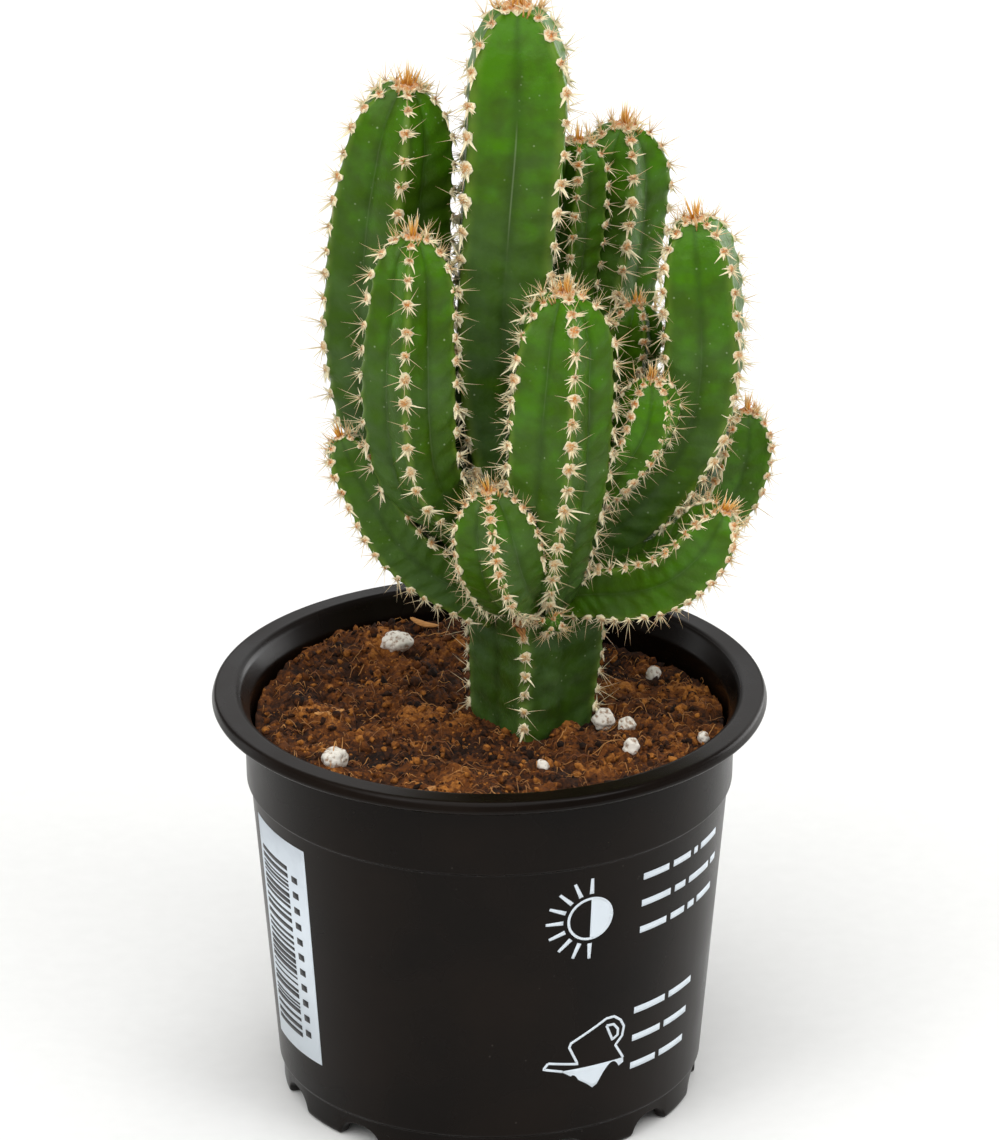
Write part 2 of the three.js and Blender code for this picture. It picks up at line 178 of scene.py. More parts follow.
@dataclass
class Skin:
    """Closed skins, in millimetres: points, four- and three-sided faces, and named values at the points."""

    points: np.ndarray
    quads: np.ndarray
    tris: np.ndarray
    marks: dict[str, np.ndarray] = field(default_factory=dict)

    @staticmethod
    def from_rings(rings: np.ndarray, marks: dict[str, np.ndarray] | None = None) -> "Skin":
        """Tubes from their rings of points, with each end closed by a fan round the end ring's middle.

        Args:
            rings: points as (tube, ring, place round the ring, xyz), or without the first axis for one tube.
                Seen from a tube's end, its places go round anticlockwise.
            marks: values at the points, of any shape that spreads over (tube, ring, place).
        Returns:
            The tubes as one skin.
        """
        rings = rings if rings.ndim == 4 else rings[None]
        count, rows, around, _ = rings.shape
        width = rows * around
        first = (np.arange(count) * (width + 2))[:, None, None]
        row, place = np.arange(rows - 1)[None, :, None] * around, np.arange(around)[None, None, :]
        after = (place + 1) % around
        corners = (row + place, row + after, row + around + after, row + around + place)
        quads = np.stack([first + c for c in corners], axis=-1).reshape(-1, 4)
        last = (rows - 1) * around
        start = (first + width + 0 * place, first + after, first + place)
        end = (first + width + 1 + 0 * place, first + last + place, first + last + after)
        tris = np.concatenate([np.stack(fan, axis=-1).reshape(-1, 3) for fan in (start, end)])

        def flat(values: np.ndarray) -> np.ndarray:
            """Ring values and their two end means, tube by tube."""
            ends = values[:, (0, -1)].mean(axis=2)
            return np.concatenate([values.reshape(count, width, values.shape[-1]), ends], axis=1)

        spread = {
            name: flat(np.broadcast_to(value, (count, rows, around))[..., None]).ravel()
            for name, value in (marks or {}).items()
        }
        return Skin(flat(rings).reshape(-1, 3), quads, tris, spread)

    @staticmethod
    def joined(skins: list["Skin"]) -> "Skin":
        """Several skins as one, with the values that all of them have."""
        offsets = np.cumsum([0] + [len(s.points) for s in skins[:-1]])
        names = set.intersection(*(set(s.marks) for s in skins))
        return Skin(
            np.concatenate([s.points for s in skins]),
            np.concatenate([s.quads + o for s, o in zip(skins, offsets)]),
            np.concatenate([s.tris + o for s, o in zip(skins, offsets)]),
            {n: np.concatenate([s.marks[n] for s in skins]) for n in sorted(names)},
        )

    def facing_out(self) -> "Skin":
        """The skin turned right side out, judged by the sign of the volume that its faces enclose."""
        fans = np.concatenate([self.quads[:, [0, 1, 2]], self.quads[:, [0, 2, 3]], self.tris])
        a, b, c = (self.points[fans[:, k]] for k in range(3))
        if np.einsum("ij,ij->i", a, np.cross(b, c)).sum() < 0:
            self.quads, self.tris = self.quads[:, ::-1], self.tris[:, ::-1]
        return self

    def piece(self, name: str, material: bpy.types.Material, slot: "Slot", *stands_for: str) -> None:
        """Makes the Blender object, at the origin with its place in its mesh, and ties it to the frame.

        Args:
            name: the piece's name.
            material: its finish.
            slot: a material slot; not used.
            stands_for: the CAD nodes that it replaces.
        """
        mesh = bpy.data.meshes.new(name)
        mesh.vertices.add(len(self.points))
        mesh.vertices.foreach_set("co", (self.points * MM).astype(np.float32).ravel())
        corners = np.concatenate([self.quads.ravel(), self.tris.ravel()]).astype(np.int32)
        mesh.loops.add(len(corners))
        mesh.loops.foreach_set("vertex_index", corners)
        fours, threes = len(self.quads), len(self.tris)
        starts = np.concatenate([np.arange(fours) * 4, fours * 4 + np.arange(threes) * 3])
        mesh.polygons.add(len(starts))
        mesh.polygons.foreach_set("loop_start", starts.astype(np.int32))
        mesh.polygons.foreach_set("use_smooth", np.ones(len(starts), bool))
        mesh.update(calc_edges=True)
        for mark, values in self.marks.items():
            mesh.attributes.new(mark, "FLOAT", "POINT").data.foreach_set("value", values.astype(np.float32))
        mesh.materials.append(material)
        made = put(name, mesh)
        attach(made, BODY)
        if stands_for:
            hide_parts(*stands_for)
        log.info("%s: %d triangles", name, 2 * fours + threes)


def needles(
    base: np.ndarray, way: np.ndarray, length: np.ndarray, radius: np.ndarray, bend: np.ndarray,
    marks: dict[str, np.ndarray], rows: int = 4, around: int = 4, flatness: float = 1.0,
) -> Skin:
    """Slim tapered bodies: a point t of the way along is base + way * length * t + bend * t squared.

    The half-width falls from radius by t to the power 1.3, to a tenth at the tip.

    Args:
        base: where each starts.
        way: the unit direction in which each sets out.
        length: how long each is.
        radius: the half-width of each at its base.
        bend: how far each tip is bent off its straight line.
        marks: one value for each needle, by name. The place along each is added as "along".
        rows: rings along each.
        around: points round each ring.
        flatness: thickness as a share of the width.
    Returns:
        All of them as one skin.
    """
    t = np.linspace(0, 1, rows)
    path = base[:, None] + way[:, None] * (length[:, None] * t)[..., None] + bend[:, None] * (t**2)[:, None]
    across = unit(np.cross(way, np.where(np.abs(way[:, 2:]) > 0.9, [1.0, 0, 0], [0, 0, 1.0])))
    other = np.cross(way, across)
    wide = (radius[:, None] * (1 - 0.9 * t**1.3))[:, :, None, None]
    ring = turned(across[:, None, None], flatness * other[:, None, None], ring_angles(around))
    spread = {name: value[:, None, None] for name, value in marks.items()}
    return Skin.from_rings(path[:, :, None] + ring * wide, spread | {"along": t[None, :, None]})


def threads(paths: np.ndarray, radius: np.ndarray, marks: dict[str, np.ndarray], around: int = 3) -> Skin:
    """Thin tubes along paths, narrowed at both ends by the square root of a sine.

    Args:
        paths: points as (thread, step, xyz).
        radius: the half-width of each thread.
        marks: one value for each thread, by name.
        around: points round each ring.
    Returns:
        All of them as one skin.
    """
    tangent = unit(np.gradient(paths, axis=1))
    across = unit(np.cross(tangent, [0.0, 0.0, 1.0]))
    other = np.cross(tangent, across)
    t = np.linspace(0.04, 0.96, paths.shape[1])
    wide = (radius[:, None] * np.sqrt(np.sin(t * math.pi)))[:, :, None, None]
    ring = turned(across[:, :, None], other[:, :, None], ring_angles(around))
    spread = {name: value[:, None, None] for name, value in marks.items()}
    return Skin.from_rings(paths[:, :, None] + ring * wide, spread)


def lumps(
    centre: np.ndarray, half: np.ndarray, turns: np.ndarray, rough: float, marks: dict[str, np.ndarray],
    rng: np.random.Generator, rows: int = 5, around: int = 7,
) -> Skin:
    """Rough balls: circles of latitude at half-sizes along three axes, each point pushed in or out at random.

    Args:
        centre: the middle of each.
        half: three half-sizes for each.
        turns: a rotation matrix for each.
        rough: the largest push, as a share of the size.
        marks: one value for each lump, by name. The height in each, from 0 to 1, is added as "top".
        rng: the source of the pushes.
        rows: circles of latitude.
        around: points round each.
    Returns:
        All of them as one skin.
    """
    latitude = np.linspace(-0.42, 0.42, rows)[:, None] * math.pi
    push = 1 + rough * rng.uniform(-1, 1, (len(centre), rows, around, 1))
    shape = ball(latitude, ring_angles(around)) * push * half[:, None, None]
    spread = {name: value[:, None, None] for name, value in marks.items()}
    placed = np.einsum("nij,nrcj->nrci", turns, shape) + centre[:, None, None]
    return Skin.from_rings(placed, spread | {"top": (latitude / math.pi + 0.5)[None]})


# ------------------------------------------------------------------ finishes


def colour(code: str) -> tuple[float, float, float, float]:
    """An sRGB hex value as a linear colour with full alpha."""
    parts = [int(code[i : i + 2], 16) / 255 for i in (1, 3, 5)]
    return (*(p / 12.92 if p <= 0.04045 else ((p + 0.055) / 1.055) ** 2.4 for p in parts), 1.0)


class Recipe:
    """A material as it is mixed: its node tree, its shader and the place that its patterns read."""

    def __init__(self, name: str) -> None:
        """Starts a material on Object coordinates."""
        self.material = bpy.data.materials.new(name)
        self.material.use_nodes = True
        self.tree = self.material.node_tree
        self.shader = self.tree.nodes["Principled BSDF"]
        self.place = self.add("TexCoord", out="Object")

    def feed(self, node: bpy.types.Node, inputs: dict[int | str, object]) -> None:
        """Gives a node's inputs, by name or number, their values or the outputs that feed them."""
        for name, value in inputs.items():
            if isinstance(value, bpy.types.NodeSocket):
                self.tree.links.new(value, node.inputs[name])
            else:
                node.inputs[name].default_value = value

    def add(
        self, kind: str, inputs: dict[int | str, object] | None = None, out: int | str = 0,
        size: float | None = None, stops: tuple[tuple[float, str], ...] = (), **settings: str | bool,
    ) -> bpy.types.NodeSocket:
        """Adds a node.

        Args:
            kind: the node's kind, without "ShaderNode".
            inputs: for an input's name or number, a value or the output that feeds it.
            out: which output is wanted.
            size: for a pattern, about how many millimetres of the object's own space it repeats in.
            stops: for a colour ramp, its places and their hex colours: the two ends, then those between.
            settings: the node's properties.
        Returns:
            The wanted output.
        """
        node = self.tree.nodes.new("ShaderNode" + kind)
        for name, value in settings.items():
            setattr(node, name, value)
        if size is not None:
            self.feed(node, {"Vector": self.place, "Scale": 1 / (size * MM)})
        self.feed(node, inputs or {})
        for i, (place, code) in enumerate(stops):
            element = node.color_ramp.elements[i] if i < 2 else node.color_ramp.elements.new(place)
            element.position, element.color = place, colour(code)
        return node.outputs[out]

    def done(self, **inputs: object) -> bpy.types.Material:
        """Feeds the shader, whose inputs are written with _ for a space, and hands over the material."""
        self.feed(self.shader, {name.replace("_", " "): value for name, value in inputs.items()})
        return self.material


@dataclass(frozen=True)
class WaxyCactusSkin:
    """Living cactus epidermis: a waxy cuticle, so a soft wide gloss over slightly translucent green flesh."""

    fresh: str = "#447605"
    grown: str = "#3b5b09"
    old: str = "#314a17"
    # the crest colour is partly the crest's own paler green and partly a painted highlight along the edge
    crest: str = "#7f9a3a"
    speck: str = "#a9b890"
    bloom: str = "#5d7a4c"
    scar: str = "#7a4526"
    mottle_mm: float = 5.0
    bloom_mm: float = 11.0
    speck_mm: float = 1.9
    speckled_mm: float = 9.0  # size of the patches that have specks
    cork_mm: float = 1.6
    wave_mm: float = 2.4
    pore_mm: float = 0.5
    glow_mm: tuple[float, float, float] = (0.8, 1.6, 0.3)  # how far red, green and blue spread in the flesh

    def build(self) -> bpy.types.Material:
        """Colour by age, with painted shade darkening the grooves, a pale crest line that is partly a painted
        highlight, mottling, specks and scars.
        """
        mix = Recipe("cactus epidermis, waxy")
        age, rib, scar, stretch = (
            mix.add("Attribute", out="Fac", attribute_name=name) for name in ("age", "rib", "scar", "stretch")
        )
        mottle = mix.add("TexNoise", {"Detail": 4.0}, size=self.mottle_mm)
        # Age shifts a little with the mottling, so the colours change in clouds and not in rings.
        drift = mix.add("MapRange", {0: mottle, 1: 0.3, 2: 0.7, 3: -0.24, 4: 0.24})
        aged = mix.add("Math", {0: age, 1: drift}, operation="ADD", use_clamp=True)
        green = mix.add("ValToRGB", {0: aged}, stops=((0.02, self.fresh), (1.0, self.old), (0.4, self.grown)))
        # Painted shade: the green is darkened towards the bottom of each groove, where shade falls.
        painted_groove_shade = mix.add("MapRange", {0: rib, 1: 0.0, 2: 0.3, 3: 0.72, 4: 1.0}, interpolation_type="SMOOTHSTEP")
        green = mix.add("Mix", {0: 1.0, 6: green, 7: painted_groove_shade}, 2, data_type="RGBA", blend_type="MULTIPLY")
        # Where the skin has stretched, a thin pale line runs along the bottom of the groove.
        line = mix.add("MapRange", {0: rib, 1: 0.0, 2: 0.035, 3: 0.7, 4: 0.0})
        line = mix.add("Math", {0: line, 1: stretch}, operation="MULTIPLY")
        green = mix.add("Mix", {0: line, 6: green, 7: colour(self.speck)}, 2, data_type="RGBA")
        # A paler green along each crest: partly the crest's own colour, partly a painted highlight on the
        # edge.
        edge = mix.add("MapRange", {0: rib, 1: 0.78, 2: 1.0, 3: 0.0, 4: 0.4}, interpolation_type="SMOOTHSTEP")
        green = mix.add("Mix", {0: edge, 6: green, 7: colour(self.crest)}, 2, data_type="RGBA")
        # Old skin has a thin grey-blue bloom in drifts.
        dull = mix.add("TexNoise", {"Detail": 5.0, "Roughness": 0.65}, size=self.bloom_mm)
        dull = mix.add("MapRange", {0: dull, 1: 0.42, 2: 0.7, 3: 0.0, 4: 0.6})
        dull = mix.add("Math", {0: dull, 1: age}, operation="MULTIPLY")
        green = mix.add("Mix", {0: dull, 6: green, 7: colour(self.bloom)}, 2, data_type="RGBA")
        # Pale specks lie in patches.
        cell = mix.add("TexVoronoi", out="Distance", size=self.speck_mm)
        dot = mix.add("MapRange", {0: cell, 1: 0.05, 2: 0.13, 3: 0.55, 4: 0.0})
        where = mix.add("TexNoise", {"Detail": 1.0}, size=self.speckled_mm)
        where = mix.add("MapRange", {0: where, 1: 0.46, 2: 0.62, 3: 0.0, 4: 1.0})
        dot = mix.add("Math", {0: dot, 1: where}, operation="MULTIPLY")
        green = mix.add("Mix", {0: dot, 6: green, 7: colour(self.speck)}, 2, data_type="RGBA")
        # Scars are corky, with a ragged edge.
        cork = mix.add("TexNoise", {"Detail": 5.0}, size=self.cork_mm)
        cork = mix.add("Math", {0: cork, 1: scar}, operation="ADD")
        cork = mix.add("MapRange", {0: cork, 1: 0.95, 2: 1.15, 3: 0.0, 4: 0.9})
        green = mix.add("Mix", {0: cork, 6: green, 7: colour(self.scar)}, 2, data_type="RGBA")
        rough = mix.add("MapRange", {0: mottle, 1: 0.3, 2: 0.7, 3: 0.3, 4: 0.42})
        pores = mix.add("TexNoise", {"Detail": 3.0}, size=self.pore_mm)
        waves = mix.add("TexNoise", {"Detail": 3.0}, size=self.wave_mm)
        height = mix.add("Math", {0: waves, 1: 4.0, 2: pores}, operation="MULTIPLY_ADD")
        bump = mix.add("Bump", {"Height": height, "Strength": 0.6, "Distance": 0.1 * MM})
        return mix.done(
            Base_Color=green, Roughness=rough, Normal=bump, IOR=1.42, Subsurface_Weight=0.08,
            Subsurface_Radius=self.glow_mm, Subsurface_Scale=MM, Specular_IOR_Level=0.2,
        )


@dataclass(frozen=True)
class SpineHorn:
    """Cactus spine: dead woody horn, so a satin straw needle that is tan at its base, or amber when young."""

    root: str = "#b08458"
    shaft: str = "#e6d8b0"
    tip: str = "#c8a47c"
    young_root: str = "#cf7f14"
    young_shaft: str = "#e9ab40"
    young_tip: str = "#faeecb"

    def build(self) -> bpy.types.Material:
        """Two ramps along the needle, mixed by how young it is."""
        mix = Recipe("cactus spine, horn")
        along, youth = (mix.add("Attribute", out="Fac", attribute_name=name) for name in ("along", "youth"))
        grown = mix.add("ValToRGB", {0: along}, stops=((0.0, self.root), (1.0, self.tip), (0.22, self.shaft)))
        stops = ((0.0, self.young_root), (1.0, self.young_tip), (0.5, self.young_shaft))
        young = mix.add("ValToRGB", {0: along}, stops=stops)
        mixed = mix.add("Mix", {0: youth, 6: grown, 7: young}, 2, data_type="RGBA")
        return mix.done(
            Base_Color=mixed, Roughness=0.42, IOR=1.5, Subsurface_Weight=0.1, Subsurface_Scale=0.5 * MM
        )


@dataclass(frozen=True)
class AreoleWool:
    """Areole felt: matted plant hairs, so dead matte cream with a tan heart, orange near the crown."""

    edge: str = "#f3e9c4"
    heart: str = "#c0904e"
    young_edge: str = "#f5e8c0"
    young_heart: str = "#c4711c"
    hair_mm: float = 0.5

    def build(self) -> bpy.types.Material:
        """Edge to heart by the place in the pad, broken up by a hair-sized noise."""
        mix = Recipe("areole felt")
        heart, youth = (mix.add("Attribute", out="Fac", attribute_name=name) for name in ("heart", "youth"))
        hair = mix.add("TexNoise", {"Detail": 3.0}, size=self.hair_mm)
        spread = mix.add("MapRange", {0: hair, 1: 0.35, 2: 0.65, 3: -0.4, 4: 0.15})
        inner = mix.add("Math", {0: heart, 1: spread}, operation="ADD", use_clamp=True)
        grown, young = (
            mix.add("Mix", {0: inner, 6: colour(edge), 7: colour(middle)}, 2, data_type="RGBA")
            for edge, middle in ((self.edge, self.heart), (self.young_edge, self.young_heart))
        )
        both = mix.add("Mix", {0: youth, 6: grown, 7: young}, 2, data_type="RGBA")
        bump = mix.add("Bump", {"Height": hair, "Strength": 0.8, "Distance": 0.2 * MM})
        return mix.done(Base_Color=both, Normal=bump, Roughness=0.95, Sheen_Weight=0.3, Sheen_Roughness=0.5)


@dataclass(frozen=True)
class CoirSoil:
    """Moist coir and peat mix: crumbly plant fibre, so matte, from near black to tan, crumb by crumb."""

    darkest: str = "#160b05"
    dark: str = "#3a1f0d"
    middle: str = "#6b3b13"
    tan: str = "#b27230"
    crumb_mm: float = 1.1
    grit_mm: float = 0.8

    def build(self) -> bpy.types.Material:
        """Crumb-sized cells and finer grit through one ramp, shifted by the shade value: each lump's own
        tone, and on the soil body also painted shade in its hollows.
        """
        mix = Recipe("coir and peat soil")
        shade = mix.add("Attribute", out="Fac", attribute_name="shade")
        cells = mix.add("TexVoronoi", out="Color", size=self.crumb_mm)
        pick = mix.add("SeparateColor", {0: cells})
        grit = mix.add("TexNoise", {"Detail": 6.0, "Roughness": 0.7}, size=self.grit_mm)
        tone = mix.add("Math", {0: pick, 1: 0.3, 2: grit}, operation="MULTIPLY_ADD")
        tone = mix.add("Math", {0: tone, 1: shade}, operation="ADD")
        tone = mix.add("MapRange", {0: tone, 1: 0.55, 2: 1.45, 3: 0.0, 4: 1.0})
        stops = ((0.0, self.darkest), (1.0, self.tan), (0.3, self.dark), (0.62, self.middle))
        brown = mix.add("ValToRGB", {0: tone}, stops=stops)
        bump = mix.add("Bump", {"Height": grit, "Strength": 0.9, "Distance": 0.4 * MM})
        return mix.done(Base_Color=brown, Normal=bump, Roughness=0.88, Specular_IOR_Level=0.25)


@dataclass(frozen=True)
class ExpandedPerlite:
    """Expanded perlite: foamed volcanic glass, so chalk white and pitted, with soil stain in the pits."""

    chalk: str = "#ece6da"
    stain: str = "#8f6a48"
    pit_mm: float = 0.9

    def build(self) -> bpy.types.Material:
        """White with stained pits and a pitted bump."""
        mix = Recipe("expanded perlite")
        pits = mix.add("TexNoise", {"Detail": 4.0}, size=self.pit_mm)
        stain = mix.add("MapRange", {0: pits, 1: 0.34, 2: 0.5, 3: 0.85, 4: 0.0})
        white = mix.add("Mix", {0: stain, 6: colour(self.chalk), 7: colour(self.stain)}, 2, data_type="RGBA")
        bump = mix.add("Bump", {"Height": pits, "Strength": 1.0, "Distance": 0.4 * MM})
        return mix.done(Base_Color=white, Normal=bump, Roughness=0.9)


@dataclass(frozen=True)
class BarkFibre:
    """Torn bark and straw: split wood fibre, so a dull orange-tan with darker streaks along the grain."""

    light: str = "#c98f4e"
    dark: str = "#6d3a1a"
    streak_mm: float = 0.5

    def build(self) -> bpy.types.Material:
        """Streaks stretched along X, between two browns, shifted by each piece's own shade."""
        mix = Recipe("bark and straw fibre")
        shade = mix.add("Attribute", out="Fac", attribute_name="shade")
        drawn = mix.add("Mapping", {"Vector": mix.place, "Scale": (0.25, 1.0, 1.0)})
        streaks = mix.add("TexNoise", {"Vector": drawn, "Detail": 4.0}, size=self.streak_mm)
        tone = mix.add("Math", {0: streaks, 1: shade}, operation="ADD")
        tone = mix.add("MapRange", {0: tone, 1: 0.3, 2: 1.2, 3: 0.0, 4: 1.0})
        brown = mix.add("Mix", {0: tone, 6: colour(self.dark), 7: colour(self.light)}, 2, data_type="RGBA")
        bump = mix.add("Bump", {"Height": streaks, "Strength": 0.7, "Distance": 0.2 * MM})
        return mix.done(Base_Color=brown, Normal=bump, Roughness=0.85)


@dataclass(frozen=True)
class ThermoformedPolypropylene:
    """Recycled polypropylene, thermoformed: smooth, so brown-black with a satin gloss and a little dust."""

    plastic: str = "#0e0906"
    warm: str = "#150e09"
    dust: str = "#4a4541"
    cloud_mm: float = 22.0
    dust_mm: float = 3.2
    dusty_mm: float = 13.0  # size of the patches that have dust
    grain_mm: float = 0.7

    def build(self) -> bpy.types.Material:
        """Two browns in wide clouds, thin dust, and a gloss that varies with the clouds."""
        mix = Recipe("polypropylene, thermoformed")
        cloud = mix.add("TexNoise", {"Detail": 3.0}, size=self.cloud_mm)
        base = mix.add("MapRange", {0: cloud, 1: 0.35, 2: 0.65, 3: 0.0, 4: 1.0})
        brown = mix.add("Mix", {0: base, 6: colour(self.plastic), 7: colour(self.warm)}, 2, data_type="RGBA")
        specks = mix.add("TexVoronoi", out="Distance", size=self.dust_mm)
        specks = mix.add("MapRange", {0: specks, 1: 0.02, 2: 0.07, 3: 0.6, 4: 0.0})
        some = mix.add("TexNoise", {"Detail": 1.0}, size=self.dusty_mm)
        some = mix.add("MapRange", {0: some, 1: 0.54, 2: 0.62, 3: 0.0, 4: 1.0})
        specks = mix.add("Math", {0: specks, 1: some}, operation="MULTIPLY")
        brown = mix.add("Mix", {0: specks, 6: brown, 7: colour(self.dust)}, 2, data_type="RGBA")
        rough = mix.add("MapRange", {0: cloud, 1: 0.3, 2: 0.7, 3: 0.22, 4: 0.34})
        grain = mix.add("TexNoise", {"Detail": 2.0}, size=self.grain_mm)
        bump = mix.add("Bump", {"Height": grain, "Strength": 0.25, "Distance": 0.03 * MM})
        return mix.done(Base_Color=brown, Roughness=rough, Normal=bump, IOR=1.49, Specular_IOR_Level=0.11)


@dataclass(frozen=True)
class Film:
    """A thin even coat that another colour shows through in drifts: screen ink, or the face of paper.

    What shows is the noise between the first two shares, mapped to the last two.
    """

    name: str
    shade: str
    under: str
    drift_mm: float = 7.0
    detail: float = 5.0
    shows: tuple[float, float, float, float] = (0.5, 0.8, 0.0, 0.5)
    roughness: float = 0.45

    def build(self) -> bpy.types.Material:
        """Two colours mixed by a noise."""
        mix = Recipe(self.name)
        drift = mix.add("TexNoise", {"Detail": self.detail}, size=self.drift_mm)
        worn = mix.add("MapRange", {0: drift, **dict(enumerate(self.shows, 1))})
        both = mix.add("Mix", {0: worn, 6: colour(self.shade), 7: colour(self.under)}, 2, data_type="RGBA")
        return mix.done(Base_Color=both, Roughness=self.roughness)


# Screen ink: drawn through a mesh as one thin film, so it is even and satin, and worn in drifts by handling.
WHITE_INK = Film("screen ink, white", "#dde6ee", "#b9c2cb")
BLACK_INK = Film("screen ink, black", "#1b1a1d", "#3a383b")
# Seamless studio paper: rolled pulp without a coat, so it is matte, with the faintest mottling.
STUDIO_PAPER = Film(
    "studio paper", "#f6f6f4", "#f1f1ef", drift_mm=4.0, detail=2.0, shows=(0.0, 1.0, 0.0, 1.0), roughness=0.9
)


class Slot(Enum):
    """The material slots."""

    POT = "pot_plastic"
    INK = "print_ink"
    SOIL = "potting_soil"
    PLANT = "cactus_skin"
    FELT = "areole_felt"
    SPINE = "spine_horn"
    PERLITE = "perlite"
    BARK = "bark"


class Finishes:
    """Every finish of the object, built once."""

    def __init__(self) -> None:
        """Builds the finishes."""
        self.skin = WaxyCactusSkin().build()
        self.spine = SpineHorn().build()
        self.wool = AreoleWool().build()
        self.soil = CoirSoil().build()
        self.perlite = ExpandedPerlite().build()
        self.bark = BarkFibre().build()
        self.plastic = ThermoformedPolypropylene().build()
        self.light_ink = WHITE_INK.build()
        self.dark_ink = BLACK_INK.build()


# ------------------------------------------------------------------ stems


@dataclass
class Stem:
    """One ribbed stem, grown along a centre line.

    The line holds x, y, z and the radius out to the rib crests. The turn is how far rib 0 faces round from
    the front, in degrees, at the foot and at the crown.
    """

    name: str
    ribs: int
    turn: tuple[float, float]
    line: tuple[tuple[float, float, float, float], ...]
    age: tuple[float, float] = (0.0, 0.9)  # at the crown and at the foot
    stretched: float = 0.12  # how plainly the grooves show their pale line
    spacing: float = 5.1  # between two grown areoles on a rib
    length: float = field(init=False)
    dome: float = field(init=False)

    ROW_MM = 0.85
    PLACES_PER_RIB = 20
    DOME_ROWS = 16
    DOME_HEIGHT = 1.25  # as a share of the last radius
    DOME_POWER = 0.42
    GROOVES = {4: (0.72, 0.64), 5: (0.82, 0.68)}  # by ribs, at foot and crown: share of the crest's radius
    SWELL = {4: 0.02, 5: 0.045}  # how far the flanks bulge, as a share of the radius
    CREST_ROUND = 0.06  # radians over which a crest is rounded off
    TURN_FROM, TURN_OVER = 0.2, 0.425  # shares of the length: where the ribs start to turn, and over how much

    def __post_init__(self) -> None:
        """Measures the centre line, and sets the dome's height from the last radius."""
        knots = np.array(self.line, float)
        self._t = np.linspace(0, len(knots) - 1, 40 * len(knots))
        course = along_curve(knots, self._t)[:, :3]
        self._run = np.r_[0, np.cumsum(np.linalg.norm(np.diff(course, axis=0), axis=1))]
        self._knots = knots
        self.length = float(self._run[-1])
        self.dome = self.DOME_HEIGHT * self.last_radius

    @property
    def last_radius(self) -> float:
        """The radius at the crown."""
        return self.line[-1][3]

    def centre(self, along: np.ndarray) -> tuple[np.ndarray, np.ndarray]:
        """The centre line's points and its radius at lengths from the foot."""
        found = along_curve(self._knots, np.interp(along, self._run, self._t))
        return found[..., :3], found[..., 3]

    def axes(self, along: np.ndarray) -> tuple[np.ndarray, np.ndarray, np.ndarray]:
        """Unit vectors along the stem, to its front and to its side, at lengths from the foot."""
        step = 0.4
        ahead, _ = self.centre(np.minimum(along + step, self.length))
        behind, _ = self.centre(np.maximum(along - step, 0))
        tangent = unit(ahead - behind)
        front = unit(tangent * tangent[..., 1:2] - np.array([0.0, 1.0, 0.0]))
        return tangent, front, np.cross(tangent, front)

    def facing(self, along: np.ndarray) -> np.ndarray:
        """The angle that rib 0 has turned from the front, in radians."""
        foot, crown = np.radians(self.turn)
        return foot + (crown - foot) * smooth((along / self.length - self.TURN_FROM) / self.TURN_OVER)

    def off_crest(self, angle: np.ndarray) -> np.ndarray:
        """The angle from the nearest crest, in radians."""
        half = math.pi / self.ribs
        return half - np.abs(np.abs(angle) % (2 * half) - half)

    def reach(self, along: np.ndarray, angle: np.ndarray) -> np.ndarray:
        """Distance from the centre line to the skin.

        Across the stem, a flank runs straight from the crest to the groove: at an angle a off the crest, with
        h the angle between crest and groove and g the groove's share, that is
        g sin h / (sin a + g sin (h - a)). It is swelled by half a sine, and a is first rounded near nought,
        so that the crest is blunt. In the dome it is also drawn in, by a rounded arch to nothing on top.
        """
        half = math.pi / self.ribs
        foot, crown = self.GROOVES[self.ribs]
        groove = foot + (crown - foot) * smooth(along / self.length)
        blunt = np.hypot(self.off_crest(angle), self.CREST_ROUND) - self.CREST_ROUND
        off = blunt * half / (math.hypot(half, self.CREST_ROUND) - self.CREST_ROUND)
        flank = groove * math.sin(half) / (np.sin(off) + groove * np.sin(half - off))
        swelled = flank * (1 + self.SWELL[self.ribs] * np.sin(math.pi * off / half))
        rise = np.clip((along - self.length + self.dome) / self.dome, 0, 1)
        return self.centre(along)[1] * swelled * (1 - rise**2) ** self.DOME_POWER

    def point(self, along: np.ndarray, angle: np.ndarray, lift: np.ndarray | float = 0.0) -> np.ndarray:
        """A point on the skin, or lifted off it, by its length from the foot and angle from rib 0's crest."""
        _, front, side = self.axes(along)
        out = (self.reach(along, angle) + lift)[..., None]
        return self.centre(along)[0] + out * turned(front, side, angle + self.facing(along))

    def holds(self, points: np.ndarray, margin: float) -> np.ndarray:
        """Which points lie inside the stem grown by a margin, each seen from the nearest step of the line."""
        steps, past_end = 160, 2.0
        along = np.linspace(0, self.length, steps)
        middle, _ = self.centre(along)
        near = np.linalg.norm(points[:, None] - middle[None], axis=-1).argmin(axis=1)
        tangent, front, side = self.axes(along[near])
        offset = points - middle[near]
        across = np.arctan2((offset * side).sum(-1), (offset * front).sum(-1)) - self.facing(along[near])
        slack = np.abs((offset * tangent).sum(-1))
        radial = np.sqrt(np.maximum((offset**2).sum(-1) - slack**2, 0))
        return (radial < self.reach(along[near], across) + margin) & (slack < past_end)


def shed(from_crown: np.ndarray | float) -> np.ndarray:
    """How far an old areole has shed: 0 up to 95 mm from the crown, 1 from 125 mm."""
    start, over = 95, 30
    return smooth((from_crown - start) / over)


